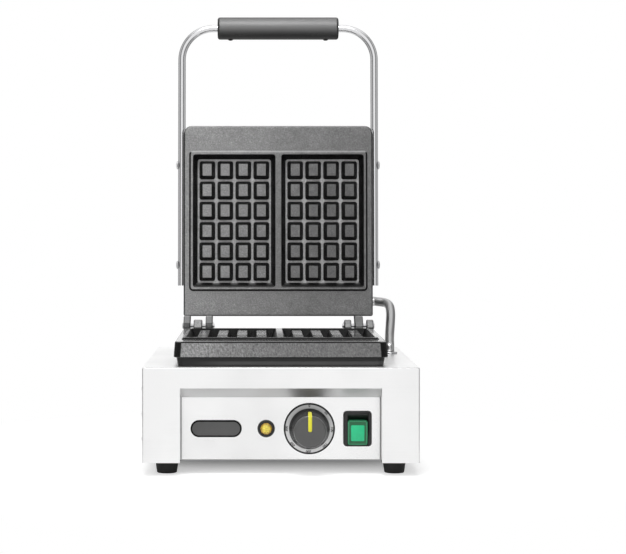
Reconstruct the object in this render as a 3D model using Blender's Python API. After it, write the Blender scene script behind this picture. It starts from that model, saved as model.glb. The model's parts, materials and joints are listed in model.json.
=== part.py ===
"""Countertop Liege waffle maker, modelled as the separate pieces that it comes apart into.

Units are metres and degrees, +Z is up and the control panel faces -Y. The origin lies on
the table, midway between the front of the knob and the back of the raised hood.
The lid stands open, leaning back against its stop, as it is left for baking.

Both waffle plates are the same casting, one turned over. A plate is drawn in its own frame:
x runs along the hinge pins, y is minus the distance from the pins towards the handle, and
z is the height above the parting plane, so the lower plate is that frame turned over.
"""

import math

import bmesh
import bpy
from mathutils import Matrix, Vector

# Fits
GAP = 0.0003
OVERRUN = 0.002
WELD = 0.0005

# Base casing
BASE_WIDTH = 0.305
BASE_DEPTH = 0.320
BASE_HEIGHT = 0.105
SHEET = 0.0015
FOLD_RADIUS = 0.0016
RECESS_SIDE_WIDTH = 0.0415
RECESS_DEPTH = 0.021
RECESS_STRIP = 0.023
RECESS_CEILING_DROP = 0.0115
LOUVRE_HEIGHTS = (0.039, 0.067, 0.095)
LOUVRE_START = 0.032
LOUVRE_LENGTH = 0.080
LOUVRE_HALF_HEIGHT = 0.0032
LOUVRE_PROUD = 0.003
LOUVRE_SKIN = 0.0011

# Control panel
PANEL_SIDE_GAP = 0.0013
PANEL_LIFT = 0.0015
PANEL_FLANGE = 0.014
CONTROL_LIFT = 0.00025
CONTROL_GAP_SHARES = (192, 349, 197, 184, 176)

# Bottom cover
COVER_SLOT_COUNT = 6
COVER_SLOT_LENGTH = 0.090
COVER_SLOT_WIDTH = 0.005
COVER_SLOT_PITCH = 0.018

# Feet
FOOT_HEIGHT = 0.015
FOOT_TOP_RADIUS = 0.0130
FOOT_BOTTOM_RADIUS = 0.0107
FOOT_EDGE = 0.001
FOOT_SIDE_INSET = 0.0255
FOOT_END_INSET = 0.036
FOOT_POCKET_RADIUS = 0.0062
FOOT_POCKET_DEPTH = 0.008
FOOT_SCREW_RADIUS = 0.0025
FOOT_SCREW_HEAD_RADIUS = 0.0048
FOOT_SCREW_HEAD = 0.003
FOOT_SCREW_REACH = 0.005

# Hinge
HINGE_INSET = 0.055
LID_OPEN_ANGLE = 92.0
LUG_RADIUS = 0.0076
LUG_SIDE_INSET = 0.01775
FORK_SLOT_HALF = 0.0095
FORK_OUTER_HALF = 0.018
TONGUE_HALF = 0.00525
PIN_RADIUS = 0.0025
PIN_HEAD_RADIUS = 0.004
PIN_HEAD = 0.0012
PIN_TAIL = 0.0022
CLIP_RADIUS = 0.0045
CLIP_THICKNESS = 0.0008
HEEL_REACH = 0.008

# Waffle plates
PLATE_SIDE_STRIP = 0.03475
PLATE_FRONT_STRIP = 0.015
PLATE_NEAR = 0.012
PLATE_RIM = (0.0115, 0.03645)
PLATE_MARGIN = 0.0025
PLATE_THICKNESS = 0.018
PLATE_DRAFT = 0.0012
PLATE_CORNER = 0.0085
PLATE_NEAR_CORNER = 0.002
RIDGE_WIDTH = 0.003
RIDGE_SLOPE = 0.0017
CENTRE_RIDGE_HALF = 0.00405
CAVITY_DEPTH = 0.0125
CAVITY_WALL_RUN = 0.0050
CAVITY_STRIP = 0.0026
STUD_COLUMNS = 4
STUD_ROWS = 6
STUD_GROOVE = (0.0034, 0.0031)
STUD_RUN = (0.0035, 0.0034)
STUD_SINK = 0.0018
BOSS_RADIUS = 0.006
BOSS_HEIGHT = 0.0074
BOSS_SIDE_INSET = 0.01775
BOSS_NEAR = 0.045
BOSS_END_INSET = 0.033
BOSS_BORE_FLOOR = 0.0155

# Heating elements
ELEMENT_RADIUS = 0.00325
ELEMENT_BEND = 0.012
ELEMENT_TAIL_BEND = 0.0044
ELEMENT_BEND_STEPS = 3
ELEMENT_SIDES = 7
ELEMENT_INNER_RUN = 0.025
ELEMENT_SIDE_INSET = 0.04275
ELEMENT_END_INSET = 0.045
ELEMENT_NEAR = 0.040
ELEMENT_TAIL = 0.070
LOWER_TAIL_DROP = 0.022
UPPER_TAIL_RISE = 0.022

# Lower tray and its screws
TRAY_HEIGHT = 0.0089
TRAY_SIDE_INSET = 0.00175
TRAY_END_INSET = 0.0025
TRAY_FLARE = 0.0015
TRAY_SHEET = 0.0012
TRAY_CORNER = 0.009
PLATE_SCREW_RADIUS = 0.0025
PLATE_SCREW_HEAD_RADIUS = 0.0045
PLATE_SCREW_HEAD = 0.003

# Hood over the upper plate
HOOD_SIDE_INSET = 0.00115
HOOD_END_INSET = 0.0025
HOOD_CORNER = 0.008
HOOD_SHEET = 0.0012
HOOD_TOP = 0.080
HOOD_SHOULDER = 0.014
HOOD_SHOULDER_STEPS = 3
REFLECTOR_SHEET = 0.001
REFLECTOR_INSET = 0.006
MAT_THICKNESS = 0.024
MAT_HOLE_RADIUS = 0.0048

# Handle
HANDLE_PLANE = 0.028
HANDLE_CLEARANCE = 0.00035
HANDLE_BEYOND_PLATE = 0.1258
HANDLE_LEG_END = 0.050
HANDLE_BEND = 0.040
HANDLE_RADIUS = 0.00475
HANDLE_SCREW_NEAR = 0.076
HANDLE_SCREW_END_INSET = 0.048
HANDLE_SCREW_RADIUS = 0.0025
HANDLE_SCREW_HEAD_RADIUS = 0.00525
HANDLE_SCREW_HEAD = 0.0018
HANDLE_SCREW_TIP = 0.004
GRIP_END_GAP = 0.0052
GRIP_RADIUS = 0.0141
GRIP_EDGE = 0.003
GRIP_SCREW_INSET = 0.0163
GRIP_SCREW_RADIUS = 0.002
GRIP_SCREW_HEAD_RADIUS = 0.0029
GRIP_SCREW_HEAD = 0.0012

# Knob, dial ring and thermostat
DIAL_MARGIN = 0.00685
DIAL_THICKNESS = 0.001
DIAL_HOLE_RADIUS = 0.008
KNOB_BACK_GAP = 0.0006
KNOB_SKIRT_RADIUS = 0.0225
KNOB_SKIRT = 0.004
KNOB_FACE_RADIUS = 0.0172
KNOB_HEIGHT = 0.030
KNOB_EDGE = 0.0012
POINTER_WIDTH = 0.0048
POINTER_PROUD = 0.0006
POINTER_SEAT = 0.0010
POINTER_START = 0.009
SHAFT_RADIUS = 0.003
SHAFT_SEAT = 0.020
SHAFT_TAIL = 0.010
THERMOSTAT_WIDTH = 0.038
THERMOSTAT_DEPTH = 0.022
THERMOSTAT_NECK_RADIUS = 0.0075
BULB_RADIUS = 0.003
BULB_LENGTH = 0.080
CAPILLARY_RADIUS = 0.001
BULB_END_INSET = 0.100

# Pilot lamp
LAMP_FLANGE_RADIUS = 0.00965
LAMP_FLANGE = 0.0022
LAMP_BARREL_RADIUS = 0.0062
LAMP_BARREL = 0.024
LAMP_LENS_RADIUS = 0.0066
LAMP_LENS_SEAT = 0.0014
LAMP_LENS_CROWN = 0.0024
LAMP_NUT_RADIUS = 0.0095
LAMP_NUT = 0.003

# Rocker switch
SWITCH_FRAME = (0.0316, 0.0393)
SWITCH_CORNER = 0.004
SWITCH_PROUD = 0.0028
SWITCH_WALL = 0.0008
SWITCH_BODY_DEPTH = 0.022
SWITCH_WALL_BACK = 0.004
ROCKER_SIZE = (0.0219, 0.0274)
ROCKER_LOW = 0.0038
ROCKER_FRONT = 0.0085
ROCKER_BACK = 0.004
ROCKER_THROW = 12.0
ROCKER_PIVOT_DEPTH = 0.0035
VISOR_DROP = 0.0016

# Badge
BADGE_SIZE = (0.0568, 0.0188)
BADGE_THICKNESS = 0.0012

# Flexible conduit between hood and base
CONDUIT_RADIUS = 0.0057
CONDUIT_SIDE_INSET = 0.0185
CONDUIT_FORWARD = 0.061
CONDUIT_HOOD_NEAR = 0.030
CONDUIT_HOOD_RISE = 0.036
CONDUIT_INSIDE = 0.003
CONDUIT_BULGE = 0.0065
CONDUIT_RUN_SHARES = (0.30, 0.72, 0.93)
CONDUIT_RISE_SHARES = (0.36, 0.79, 0.955)
CONDUIT_BULGE_SHARES = (0.35, 1.0, 0.55)
CONDUIT_STEPS = 20
FERRULE_RADIUS = 0.0092
FERRULE_HEIGHT = 0.0018

# Rear cable inlet and terminal block
GLAND_SIDE_INSET = 0.0575
GLAND_HEIGHT = 0.048
GLAND_FLANGE_RADIUS = 0.0115
GLAND_FLANGE = 0.004
GLAND_NOSE_RADIUS = 0.0082
GLAND_NOSE = 0.016
GLAND_BARREL_RADIUS = 0.0078
GLAND_BORE_RADIUS = 0.0042
GLAND_TAIL = 0.010
GLAND_NUT = 0.005
TERMINAL_SIZE = (0.044, 0.022, 0.018)
TERMINAL_POLES = 4
TERMINAL_SLOT = 0.005

# Facet counts
ROUND_STEPS = 18
SMALL_STEPS = 12
HOLE_STEPS = 8
CORNER_STEPS = 3
BEND_STEPS = 7

# Places worked out from the sizes above
HALF_WIDTH = BASE_WIDTH / 2
BASE_TOP = FOOT_HEIGHT + BASE_HEIGHT
RECESS_TOP = BASE_TOP - RECESS_STRIP
RECESS_HALF_WIDTH = HALF_WIDTH - RECESS_SIDE_WIDTH
RECESS_BACK_TOP = RECESS_TOP - RECESS_CEILING_DROP
PANEL_HALF_WIDTH = RECESS_HALF_WIDTH - PANEL_SIDE_GAP
CONTROL_ROW = (FOOT_HEIGHT + RECESS_BACK_TOP) / 2 + CONTROL_LIFT
DIAL_RADIUS = (RECESS_BACK_TOP - FOOT_HEIGHT) / 2 - DIAL_MARGIN

# The badge, lamp, dial and switch share what the panel has to spare, from left to right
CONTROL_WIDTHS = (BADGE_SIZE[0], 2 * LAMP_FLANGE_RADIUS, 2 * DIAL_RADIUS, SWITCH_FRAME[0])
CONTROL_SPARE = 2 * PANEL_HALF_WIDTH - sum(CONTROL_WIDTHS)
BADGE_PLACE, LAMP_PLACE, KNOB_PLACE, SWITCH_PLACE = (
    sum(CONTROL_WIDTHS[:i]) + CONTROL_WIDTHS[i] / 2 - PANEL_HALF_WIDTH
    + CONTROL_SPARE * sum(CONTROL_GAP_SHARES[: i + 1]) / sum(CONTROL_GAP_SHARES)
    for i in range(len(CONTROL_WIDTHS))
)

# The plates fill the base's top, and the studs fill the plates' cavities
LEAN = math.radians(LID_OPEN_ANGLE - 90.0)
PLATE_BACK = PLATE_MARGIN + PLATE_THICKNESS
HINGE_PLACE = BASE_DEPTH - HINGE_INSET
HINGE_HEIGHT = BASE_TOP + GAP + TRAY_HEIGHT + GAP + PLATE_BACK
PLATE_WIDTH = BASE_WIDTH - 2 * PLATE_SIDE_STRIP
PLATE_FAR = HINGE_PLACE - PLATE_FRONT_STRIP
PLATE_CENTRE = (PLATE_NEAR + PLATE_FAR) / 2
CAVITY_WALL = CAVITY_WALL_RUN + CAVITY_STRIP
STUD_GRID = (
    PLATE_WIDTH / 2 - PLATE_RIM[0] - CENTRE_RIDGE_HALF - 2 * CAVITY_WALL,
    PLATE_FAR - PLATE_NEAR - 2 * PLATE_RIM[1] - 2 * CAVITY_WALL,
)
STUD_PITCH = (
    (STUD_GRID[0] + STUD_GROOVE[0]) / STUD_COLUMNS,
    (STUD_GRID[1] + STUD_GROOVE[1]) / STUD_ROWS,
)
STUD_BASE = (STUD_PITCH[0] - STUD_GROOVE[0], STUD_PITCH[1] - STUD_GROOVE[1])
STUD_TOP = (STUD_BASE[0] - 2 * STUD_RUN[0], STUD_BASE[1] - 2 * STUD_RUN[1])
LUG_CENTRE = PLATE_WIDTH / 2 - LUG_SIDE_INSET
BOSS_SIDE = PLATE_WIDTH / 2 - BOSS_SIDE_INSET
BOSS_FAR = PLATE_FAR - BOSS_END_INSET
ELEMENT_RUNS = (ELEMENT_INNER_RUN, PLATE_WIDTH / 2 - ELEMENT_SIDE_INSET)
ELEMENT_FAR = PLATE_FAR - ELEMENT_END_INSET
BULB_START = PLATE_FAR - BULB_END_INSET

# The tray, hood and handle follow the plates
TRAY_TOP_WIDTH = PLATE_WIDTH - 2 * TRAY_SIDE_INSET
TRAY_BOTTOM_WIDTH = TRAY_TOP_WIDTH - 2 * TRAY_FLARE
TRAY_FRONT = HINGE_PLACE - PLATE_FAR + TRAY_END_INSET
TRAY_BACK = HINGE_PLACE - PLATE_NEAR - TRAY_END_INSET
HOOD_WIDTH = PLATE_WIDTH - 2 * HOOD_SIDE_INSET
HOOD_NEAR = PLATE_NEAR + HOOD_END_INSET
HOOD_FAR = PLATE_FAR - HOOD_END_INSET
HANDLE_HALF_SPAN = HOOD_WIDTH / 2 + HANDLE_RADIUS + HANDLE_CLEARANCE
HANDLE_REACH = PLATE_FAR + HANDLE_BEYOND_PLATE
HANDLE_SCREWS = (HANDLE_SCREW_NEAR, PLATE_FAR - HANDLE_SCREW_END_INSET)
GRIP_LENGTH = 2 * (HANDLE_HALF_SPAN - HANDLE_BEND - GRIP_END_GAP)
GRIP_SCREW_SPACING = GRIP_LENGTH / 2 - GRIP_SCREW_INSET
CONDUIT_BASE = (HALF_WIDTH - CONDUIT_SIDE_INSET, HINGE_PLACE - CONDUIT_FORWARD)
GLAND_PLACE = (GLAND_SIDE_INSET - HALF_WIDTH, GLAND_HEIGHT)

# The origin lies under the middle of the open model
KNOB_BACK = RECESS_DEPTH - GAP - DIAL_THICKNESS - KNOB_BACK_GAP
KNOB_FRONT = KNOB_BACK - KNOB_HEIGHT
HOOD_SCREW_TOP = HOOD_TOP + GAP + PLATE_SCREW_HEAD * 2 / 3
HOOD_REACH = HINGE_PLACE + HOOD_SCREW_TOP * math.cos(LEAN) + BOSS_FAR * math.sin(LEAN)
FRONT_PLACE = -(KNOB_FRONT + HOOD_REACH) / 2


def clear_scene():
    """Remove every object that is in the file."""
    for thing in list(bpy.data.objects):
        bpy.data.objects.remove(thing, do_unlink=True)


def finish(name, colour, roughness, metallic):
    """Return a Principled material for one finish."""
    material = bpy.data.materials.new(name)
    material.use_nodes = True
    shader = material.node_tree.nodes["Principled BSDF"]
    shader.inputs["Base Color"].default_value = (*colour, 1.0)
    shader.inputs["Roughness"].default_value = roughness
    shader.inputs["Metallic"].default_value = metallic
    return material


def empty(name, parent=None, location=(0, 0, 0), turn_x=0.0):
    """Return an empty that carries other pieces."""
    holder = bpy.data.objects.new(name, None)
    bpy.context.scene.collection.objects.link(holder)
    holder.parent = parent
    holder.location = location
    holder.rotation_euler = (turn_x, 0, 0)
    return holder


def make(name, shape, material, parent, location=(0, 0, 0), turn=(0, 0, 0)):
    """Turn a bmesh, or a mesh that another piece shares, into a named object."""
    if isinstance(shape, bmesh.types.BMesh):
        bmesh.ops.recalc_face_normals(shape, faces=shape.faces)
        mesh = bpy.data.meshes.new(name)
        shape.to_mesh(mesh)
        shape.free()
    else:
        mesh = shape
    piece = bpy.data.objects.new(name, mesh)
    bpy.context.scene.collection.objects.link(piece)
    piece.parent = parent
    piece.location = location
    piece.rotation_euler = turn
    if not mesh.materials:
        mesh.materials.append(material)
    return piece


def smooth(piece, angle=35.0):
    """Shade round faces smooth and keep the real edges sharp."""
    piece.data.shade_smooth()
    piece.data.set_sharp_from_angle(angle=math.radians(angle))
    return piece


def combine(piece, tool_shape, operation):
    """Join or cut a piece with a bmesh, drawn in the piece's own frame."""
    bmesh.ops.recalc_face_normals(tool_shape, faces=tool_shape.faces)
    tool_mesh = bpy.data.meshes.new("tool")
    tool_shape.to_mesh(tool_mesh)
    tool_shape.free()
    tool = bpy.data.objects.new("tool", tool_mesh)
    tool.hide_render = True
    tool.display_type = "WIRE"
    bpy.context.scene.collection.objects.link(tool)
    tool.parent = piece.parent
    tool.location = piece.location
    tool.rotation_euler = piece.rotation_euler
    modifier = piece.modifiers.new("combine", "BOOLEAN")
    modifier.operation = operation
    modifier.solver = "EXACT"
    modifier.object = tool
    bpy.context.view_layer.update()
    graph = bpy.context.evaluated_depsgraph_get()
    result = bpy.data.meshes.new_from_object(piece.evaluated_get(graph))
    piece.modifiers.clear()
    old = piece.data
    result.name = old.name
    piece.data = result
    bpy.data.meshes.remove(old)
    bpy.data.objects.remove(tool, do_unlink=True)
    bpy.data.meshes.remove(tool_mesh)
    return piece


def cut(piece, tool_shape):
    """Cut a bmesh out of a piece."""
    return combine(piece, tool_shape, "DIFFERENCE")


def join(piece, tool_shape):
    """Join a bmesh to a piece."""
    return combine(piece, tool_shape, "UNION")


def add_loft(shape, rings, hollow=False):
    """Skin rings of equal count; a hollow loft closes on its first ring."""
    rows = [[shape.verts.new(point) for point in ring] for ring in rings]
    pairs = list(zip(rows, rows[1:]))
    if hollow:
        pairs.append((rows[-1], rows[0]))
    for lower, upper in pairs:
        count = len(lower)
        for i in range(count):
            j = (i + 1) % count
            shape.faces.new((lower[i], lower[j], upper[j], upper[i]))
    if not hollow:
        shape.faces.new(rows[0])
        shape.faces.new(rows[-1])
    return shape


def add_prism(shape, outline, low, high, axis):
    """Extrude an outline along x, y or z; its two coordinates are the other axes."""

    def place(point, along):
        a, b = point
        return {"x": (along, a, b), "y": (a, along, b), "z": (a, b, along)}[axis]

    rings = [[place(point, along) for point in outline] for along in (low, high)]
    return add_loft(shape, rings)


def add_box(shape, low, high):
    """Add a box between two corners."""
    outline = [(low[0], low[1]), (high[0], low[1]), (high[0], high[1]), (low[0], high[1])]
    return add_prism(shape, outline, low[2], high[2], "z")


def circle(radius, steps, centre=(0, 0)):
    """Return the points of a circle."""
    turns = [2 * math.pi * i / steps for i in range(steps)]
    return [
        (centre[0] + radius * math.cos(t), centre[1] + radius * math.sin(t)) for t in turns
    ]


def add_turned(shape, profile, centre, axis, steps=ROUND_STEPS):
    """Turn a closed profile of (radius, along) points; zero radius meets the axis."""
    solid = profile[0][0] == 0 or profile[-1][0] == 0

    def place(radius, along, angle):
        a, b = radius * math.cos(angle), radius * math.sin(angle)
        offset = {"x": (along, a, b), "y": (a, along, b), "z": (a, b, along)}[axis]
        return tuple(c + o for c, o in zip(centre, offset))

    rows = []
    for radius, along in profile:
        count = 1 if radius == 0 else steps
        turns = [2 * math.pi * i / steps for i in range(count)]
        rows.append([shape.verts.new(place(radius, along, t)) for t in turns])
    pairs = list(zip(rows, rows[1:]))
    if not solid:
        pairs.append((rows[-1], rows[0]))
    for lower, upper in pairs:
        for i in range(steps):
            j = (i + 1) % steps
            if len(lower) == 1:
                shape.faces.new((lower[0], upper[j], upper[i]))
            elif len(upper) == 1:
                shape.faces.new((lower[i], lower[j], upper[0]))
            else:
                shape.faces.new((lower[i], lower[j], upper[j], upper[i]))
    return shape


def add_rod(shape, centre, axis, radius, low, high, steps=SMALL_STEPS):
    """Add a round rod that runs from low to high along an axis through centre."""
    profile = [(0, low), (radius, low), (radius, high), (0, high)]
    return add_turned(shape, profile, centre, axis, steps)


def rounded_rectangle(
    half_x, half_y, radius, centre=(0, 0), steps=CORNER_STEPS, upper_radius=None
):
    """Return the outline of a rectangle with round corners; the +y pair may differ."""
    points = []
    low_radius = radius
    for quarter, (sx, sy) in enumerate(((1, 1), (-1, 1), (-1, -1), (1, -1))):
        radius = low_radius if sy < 0 or upper_radius is None else upper_radius
        for i in range(steps + 1):
            angle = math.pi / 2 * (quarter + i / steps)
            x = sx * (half_x - radius) + radius * math.cos(angle)
            y = sy * (half_y - radius) + radius * math.sin(angle)
            points.append((centre[0] + x, centre[1] + y))
    return points


def at_height(outline, height):
    """Lift a flat outline to a height."""
    return [(x, y, height) for x, y in outline]


def add_tube(shape, path, radii, sides=SMALL_STEPS):
    """Sweep a round section along a path, one radius a point, without twist."""
    points = [Vector(point) for point in path]
    tangents = []
    for i in range(len(points)):
        before = points[max(i - 1, 0)]
        after = points[min(i + 1, len(points) - 1)]
        tangents.append((after - before).normalized())
    side = tangents[0].orthogonal().normalized()
    rings = []
    for i, (point, tangent) in enumerate(zip(points, tangents)):
        if i:
            side = tangents[i - 1].rotation_difference(tangent) @ side
        up = tangent.cross(side)
        rings.append(
            [point + side * a + up * b for a, b in circle(radii[i], sides)]
        )
    return add_loft(shape, rings)


def bend(centre, start, end, radius, u, v, steps=BEND_STEPS):
    """Return points on an arc from start to end degrees in the plane of u and v."""
    points = []
    for i in range(steps + 1):
        angle = math.radians(start + (end - start) * i / steps)
        arm = Vector(u) * math.cos(angle) + Vector(v) * math.sin(angle)
        points.append(Vector(centre) + arm * radius)
    return points


def smooth_route(points, steps):
    """Return a smooth curve through points, as a Catmull-Rom spline."""
    ends = [2 * points[0] - points[1]] + points + [2 * points[-1] - points[-2]]
    spans = len(points) - 1
    route = []
    for i in range(steps + 1):
        place = spans * i / steps
        k = min(int(place), spans - 1)
        t = place - k
        a, b, c, d = ends[k : k + 4]
        route.append(
            (b * 2 + (c - a) * t + (a * 2 - b * 5 + c * 4 - d) * t**2
             + (b * 3 - a - c * 3 + d) * t**3) / 2
        )
    return route


def hood_point(x, near, rise):
    """Return where a point of the raised lid lies in the frame of the base."""
    angle = -math.radians(LID_OPEN_ANGLE)
    y = -near * math.cos(angle) - rise * math.sin(angle)
    z = -near * math.sin(angle) + rise * math.cos(angle)
    return Vector((x, HINGE_PLACE + y, HINGE_HEIGHT + z))


def recess_ceiling(depth):
    """Return the height of the sloping recess ceiling at a depth."""
    return RECESS_TOP - RECESS_CEILING_DROP * depth / RECESS_DEPTH


def add_recess(shape, grow, front, back):
    """Add the space of the control recess, grown on its sides and ceiling."""
    bottom = FOOT_HEIGHT - 2 * OVERRUN
    outline = [
        (front, bottom),
        (back, bottom),
        (back, recess_ceiling(back) + grow),
        (0, RECESS_TOP + grow),
        (front, RECESS_TOP + grow),
    ]
    half = RECESS_HALF_WIDTH + grow
    return add_prism(shape, outline, -half, half, "x")


def add_louvre(shape, side, height, cutter):
    """Add one pressed side louvre, or the air passage under its skin."""
    wall = side * HALF_WIDTH
    low, high = height - LOUVRE_HALF_HEIGHT, height + LOUVRE_HALF_HEIGHT
    if cutter:
        skin = LOUVRE_SKIN
        reach = LOUVRE_PROUD - skin
        outline = [
            (wall - side * (SHEET + OVERRUN), high - 2 * skin),
            (wall, high - 2 * skin),
            (wall + side * reach, height - skin / 2),
            (wall + side * reach, low - OVERRUN),
            (wall, low - OVERRUN),
            (wall, low + skin / 2),
            (wall - side * (SHEET + OVERRUN), low + skin / 2),
        ]
    else:
        skin = 0
        outline = [
            (wall - side * SHEET / 2, high),
            (wall, high),
            (wall + side * LOUVRE_PROUD * 2 / 3, height + LOUVRE_HALF_HEIGHT / 2),
            (wall + side * LOUVRE_PROUD, height),
            (wall + side * LOUVRE_PROUD, low),
            (wall - side * SHEET / 2, low),
        ]
    start, end = LOUVRE_START + skin, LOUVRE_START + LOUVRE_LENGTH - skin
    rings = [[(x, y, z) for x, z in outline] for y in (start, end)]
    return add_loft(shape, rings)


def plate_screw_places():
    """Return (x, distance from the hinge) of the four plate bosses."""
    return [(x, near) for near in (BOSS_NEAR, BOSS_FAR) for x in (-BOSS_SIDE, BOSS_SIDE)]


def element_route(tail):
    """Return the path of one heating element in the frame of its plate."""
    height = PLATE_BACK + GAP + ELEMENT_RADIUS
    inner, outer = ELEMENT_RUNS
    radius = ELEMENT_BEND
    tight = ELEMENT_TAIL_BEND
    x_axis, y_axis, out, up = (1, 0, 0), (0, 1, 0), (0, -1, 0), (0, 0, 1)
    bends = (
        ((inner, -ELEMENT_TAIL - tight, height + tight), 0, -90, tight, y_axis, up),
        ((inner + radius, -ELEMENT_FAR + radius, height), 180, 90, radius, x_axis, out),
        ((outer - radius, -ELEMENT_FAR + radius, height), 90, 0, radius, x_axis, out),
        ((outer - radius, -ELEMENT_NEAR - radius, height), 0, -90, radius, x_axis, out),
    )
    half = [Vector((inner, -ELEMENT_TAIL, height + tail))]
    for arc in bends:
        half += bend(*arc, ELEMENT_BEND_STEPS)
    mirrored = [Vector((-point.x, point.y, point.z)) for point in reversed(half)]
    return half + mirrored


def make_casing(parent, steel):
    """Folded stainless casing with its control recess, louvres and holes."""
    shape = bmesh.new()
    add_box(
        shape,
        (-HALF_WIDTH, 0, FOOT_HEIGHT),
        (HALF_WIDTH, BASE_DEPTH, BASE_TOP),
    )
    edges = [
        edge for edge in shape.edges
        if max(vert.co.z for vert in edge.verts) > BASE_TOP - WELD
    ]
    bmesh.ops.bevel(
        shape, geom=edges, offset=FOLD_RADIUS, segments=2, profile=0.5, affect="EDGES"
    )
    casing = make("base_casing", shape, steel, parent)

    bumps = bmesh.new()
    for side in (-1, 1):
        for height in LOUVRE_HEIGHTS:
            add_louvre(bumps, side, height, cutter=False)
    join(casing, bumps)

    jamb_end = RECESS_DEPTH + SHEET
    hollow = make("hollow", add_box(
        bmesh.new(),
        (-HALF_WIDTH + SHEET, SHEET, FOOT_HEIGHT - OVERRUN),
        (HALF_WIDTH - SHEET, BASE_DEPTH - SHEET, BASE_TOP - SHEET),
    ), steel, parent)
    cut(hollow, add_recess(bmesh.new(), SHEET, -OVERRUN, jamb_end))
    inside = bmesh.new()
    inside.from_mesh(hollow.data)
    hollow_mesh = hollow.data
    bpy.data.objects.remove(hollow, do_unlink=True)
    bpy.data.meshes.remove(hollow_mesh)
    cut(casing, inside)
    cut(casing, add_recess(bmesh.new(), 0, -OVERRUN, jamb_end + OVERRUN))

    openings = bmesh.new()
    for side in (-1, 1):
        for height in LOUVRE_HEIGHTS:
            add_louvre(openings, side, height, cutter=True)
    add_top_holes(openings, BASE_TOP - SHEET - OVERRUN, BASE_TOP + OVERRUN)
    x, y = CONDUIT_BASE
    add_rod(openings, (x, y, 0), "z", CONDUIT_RADIUS + GAP, BASE_TOP - 2 * SHEET, BASE_TOP + OVERRUN)
    x, z = GLAND_PLACE
    add_rod(
        openings, (x, BASE_DEPTH, z), "y", GLAND_BARREL_RADIUS + GAP, -2 * SHEET, OVERRUN,
        ROUND_STEPS,
    )
    return smooth(cut(casing, openings))


def add_top_holes(shape, low, high):
    """Add the holes that the casing top and the tray floor share."""
    for x, near in plate_screw_places():
        place = (x, HINGE_PLACE - near, 0)
        add_rod(shape, place, "z", PLATE_SCREW_RADIUS + GAP, low, high, HOLE_STEPS)
    for x in (-ELEMENT_RUNS[0], ELEMENT_RUNS[0]):
        place = (x, HINGE_PLACE - ELEMENT_TAIL, 0)
        add_rod(shape, place, "z", ELEMENT_RADIUS + 2 * GAP, low, high, HOLE_STEPS)
    place = (0, HINGE_PLACE - BULB_START, 0)
    add_rod(shape, place, "z", CAPILLARY_RADIUS + 2 * GAP, low, high, HOLE_STEPS)
    return shape


def switch_window():
    """Return half the width and half the height of the pocket that the rocker swings in."""
    half = ROCKER_SIZE[1] / 2
    tilt = math.radians(ROCKER_THROW / 2)
    end_front = ROCKER_FRONT - half * math.tan(tilt)
    return ROCKER_SIZE[0] / 2 + GAP, half * math.cos(tilt) + end_front * math.sin(tilt) + GAP


def make_panel(parent, steel):
    """Flat control panel with a folded bottom flange and its cut-outs."""
    bottom = FOOT_HEIGHT + PANEL_LIFT
    flange_low = max(bottom, FOOT_HEIGHT + SHEET + 2 * GAP)
    front, back = RECESS_DEPTH, RECESS_DEPTH + SHEET
    top = recess_ceiling(back) - GAP
    outline = [
        (front, bottom),
        (back, bottom),
        (back, flange_low),
        (back + PANEL_FLANGE, flange_low),
        (back + PANEL_FLANGE, flange_low + SHEET),
        (back, flange_low + SHEET),
        (back, top),
        (front, top),
    ]
    half = PANEL_HALF_WIDTH
    panel = make("control_panel", add_prism(bmesh.new(), outline, -half, half, "x"), steel, parent)
    holes = bmesh.new()
    low, high = front - OVERRUN, back + OVERRUN
    add_rod(holes, (KNOB_PLACE, 0, CONTROL_ROW), "y", THERMOSTAT_NECK_RADIUS + GAP, low, high)
    add_rod(holes, (LAMP_PLACE, 0, CONTROL_ROW), "y", LAMP_BARREL_RADIUS + GAP, low, high)
    half_x, half_z = (half + SWITCH_WALL + GAP for half in switch_window())
    middle = CONTROL_ROW - ROCKER_LOW
    add_box(
        holes,
        (SWITCH_PLACE - half_x, low, middle - half_z),
        (SWITCH_PLACE + half_x, high, middle + half_z),
    )
    return cut(panel, holes)


def foot_places():
    """Return the name and place of each foot."""
    places = []
    for end, y in (("front", FOOT_END_INSET), ("rear", BASE_DEPTH - FOOT_END_INSET)):
        for side, x in (("left", -1), ("right", 1)):
            places.append((f"{end}_{side}", x * (HALF_WIDTH - FOOT_SIDE_INSET), y))
    return places


def make_bottom(parent, steel):
    """Bottom cover with vent slots and foot screw holes."""
    low = FOOT_HEIGHT + GAP
    near = SHEET + GAP
    front = RECESS_DEPTH + SHEET + GAP
    ear = RECESS_HALF_WIDTH + SHEET + GAP
    half = HALF_WIDTH - SHEET - GAP
    back = BASE_DEPTH - SHEET - GAP
    outline = [
        (-half, back), (-half, near), (-ear, near), (-ear, front),
        (ear, front), (ear, near), (half, near), (half, back),
    ]
    shape = add_prism(bmesh.new(), outline, low, low + SHEET, "z")
    cover = make("bottom_cover", shape, steel, parent)
    holes = bmesh.new()
    middle = (front + back) / 2
    for i in range(COVER_SLOT_COUNT):
        y = middle + (i - (COVER_SLOT_COUNT - 1) / 2) * COVER_SLOT_PITCH
        add_box(
            holes,
            (-COVER_SLOT_LENGTH / 2, y - COVER_SLOT_WIDTH / 2, low - OVERRUN),
            (COVER_SLOT_LENGTH / 2, y + COVER_SLOT_WIDTH / 2, low + SHEET + OVERRUN),
        )
    for _, x, y in foot_places():
        add_rod(
            holes, (x, y, low), "z", FOOT_SCREW_RADIUS + 2 * GAP, -OVERRUN, SHEET + OVERRUN,
            HOLE_STEPS,
        )
    return cut(cover, holes)


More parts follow.
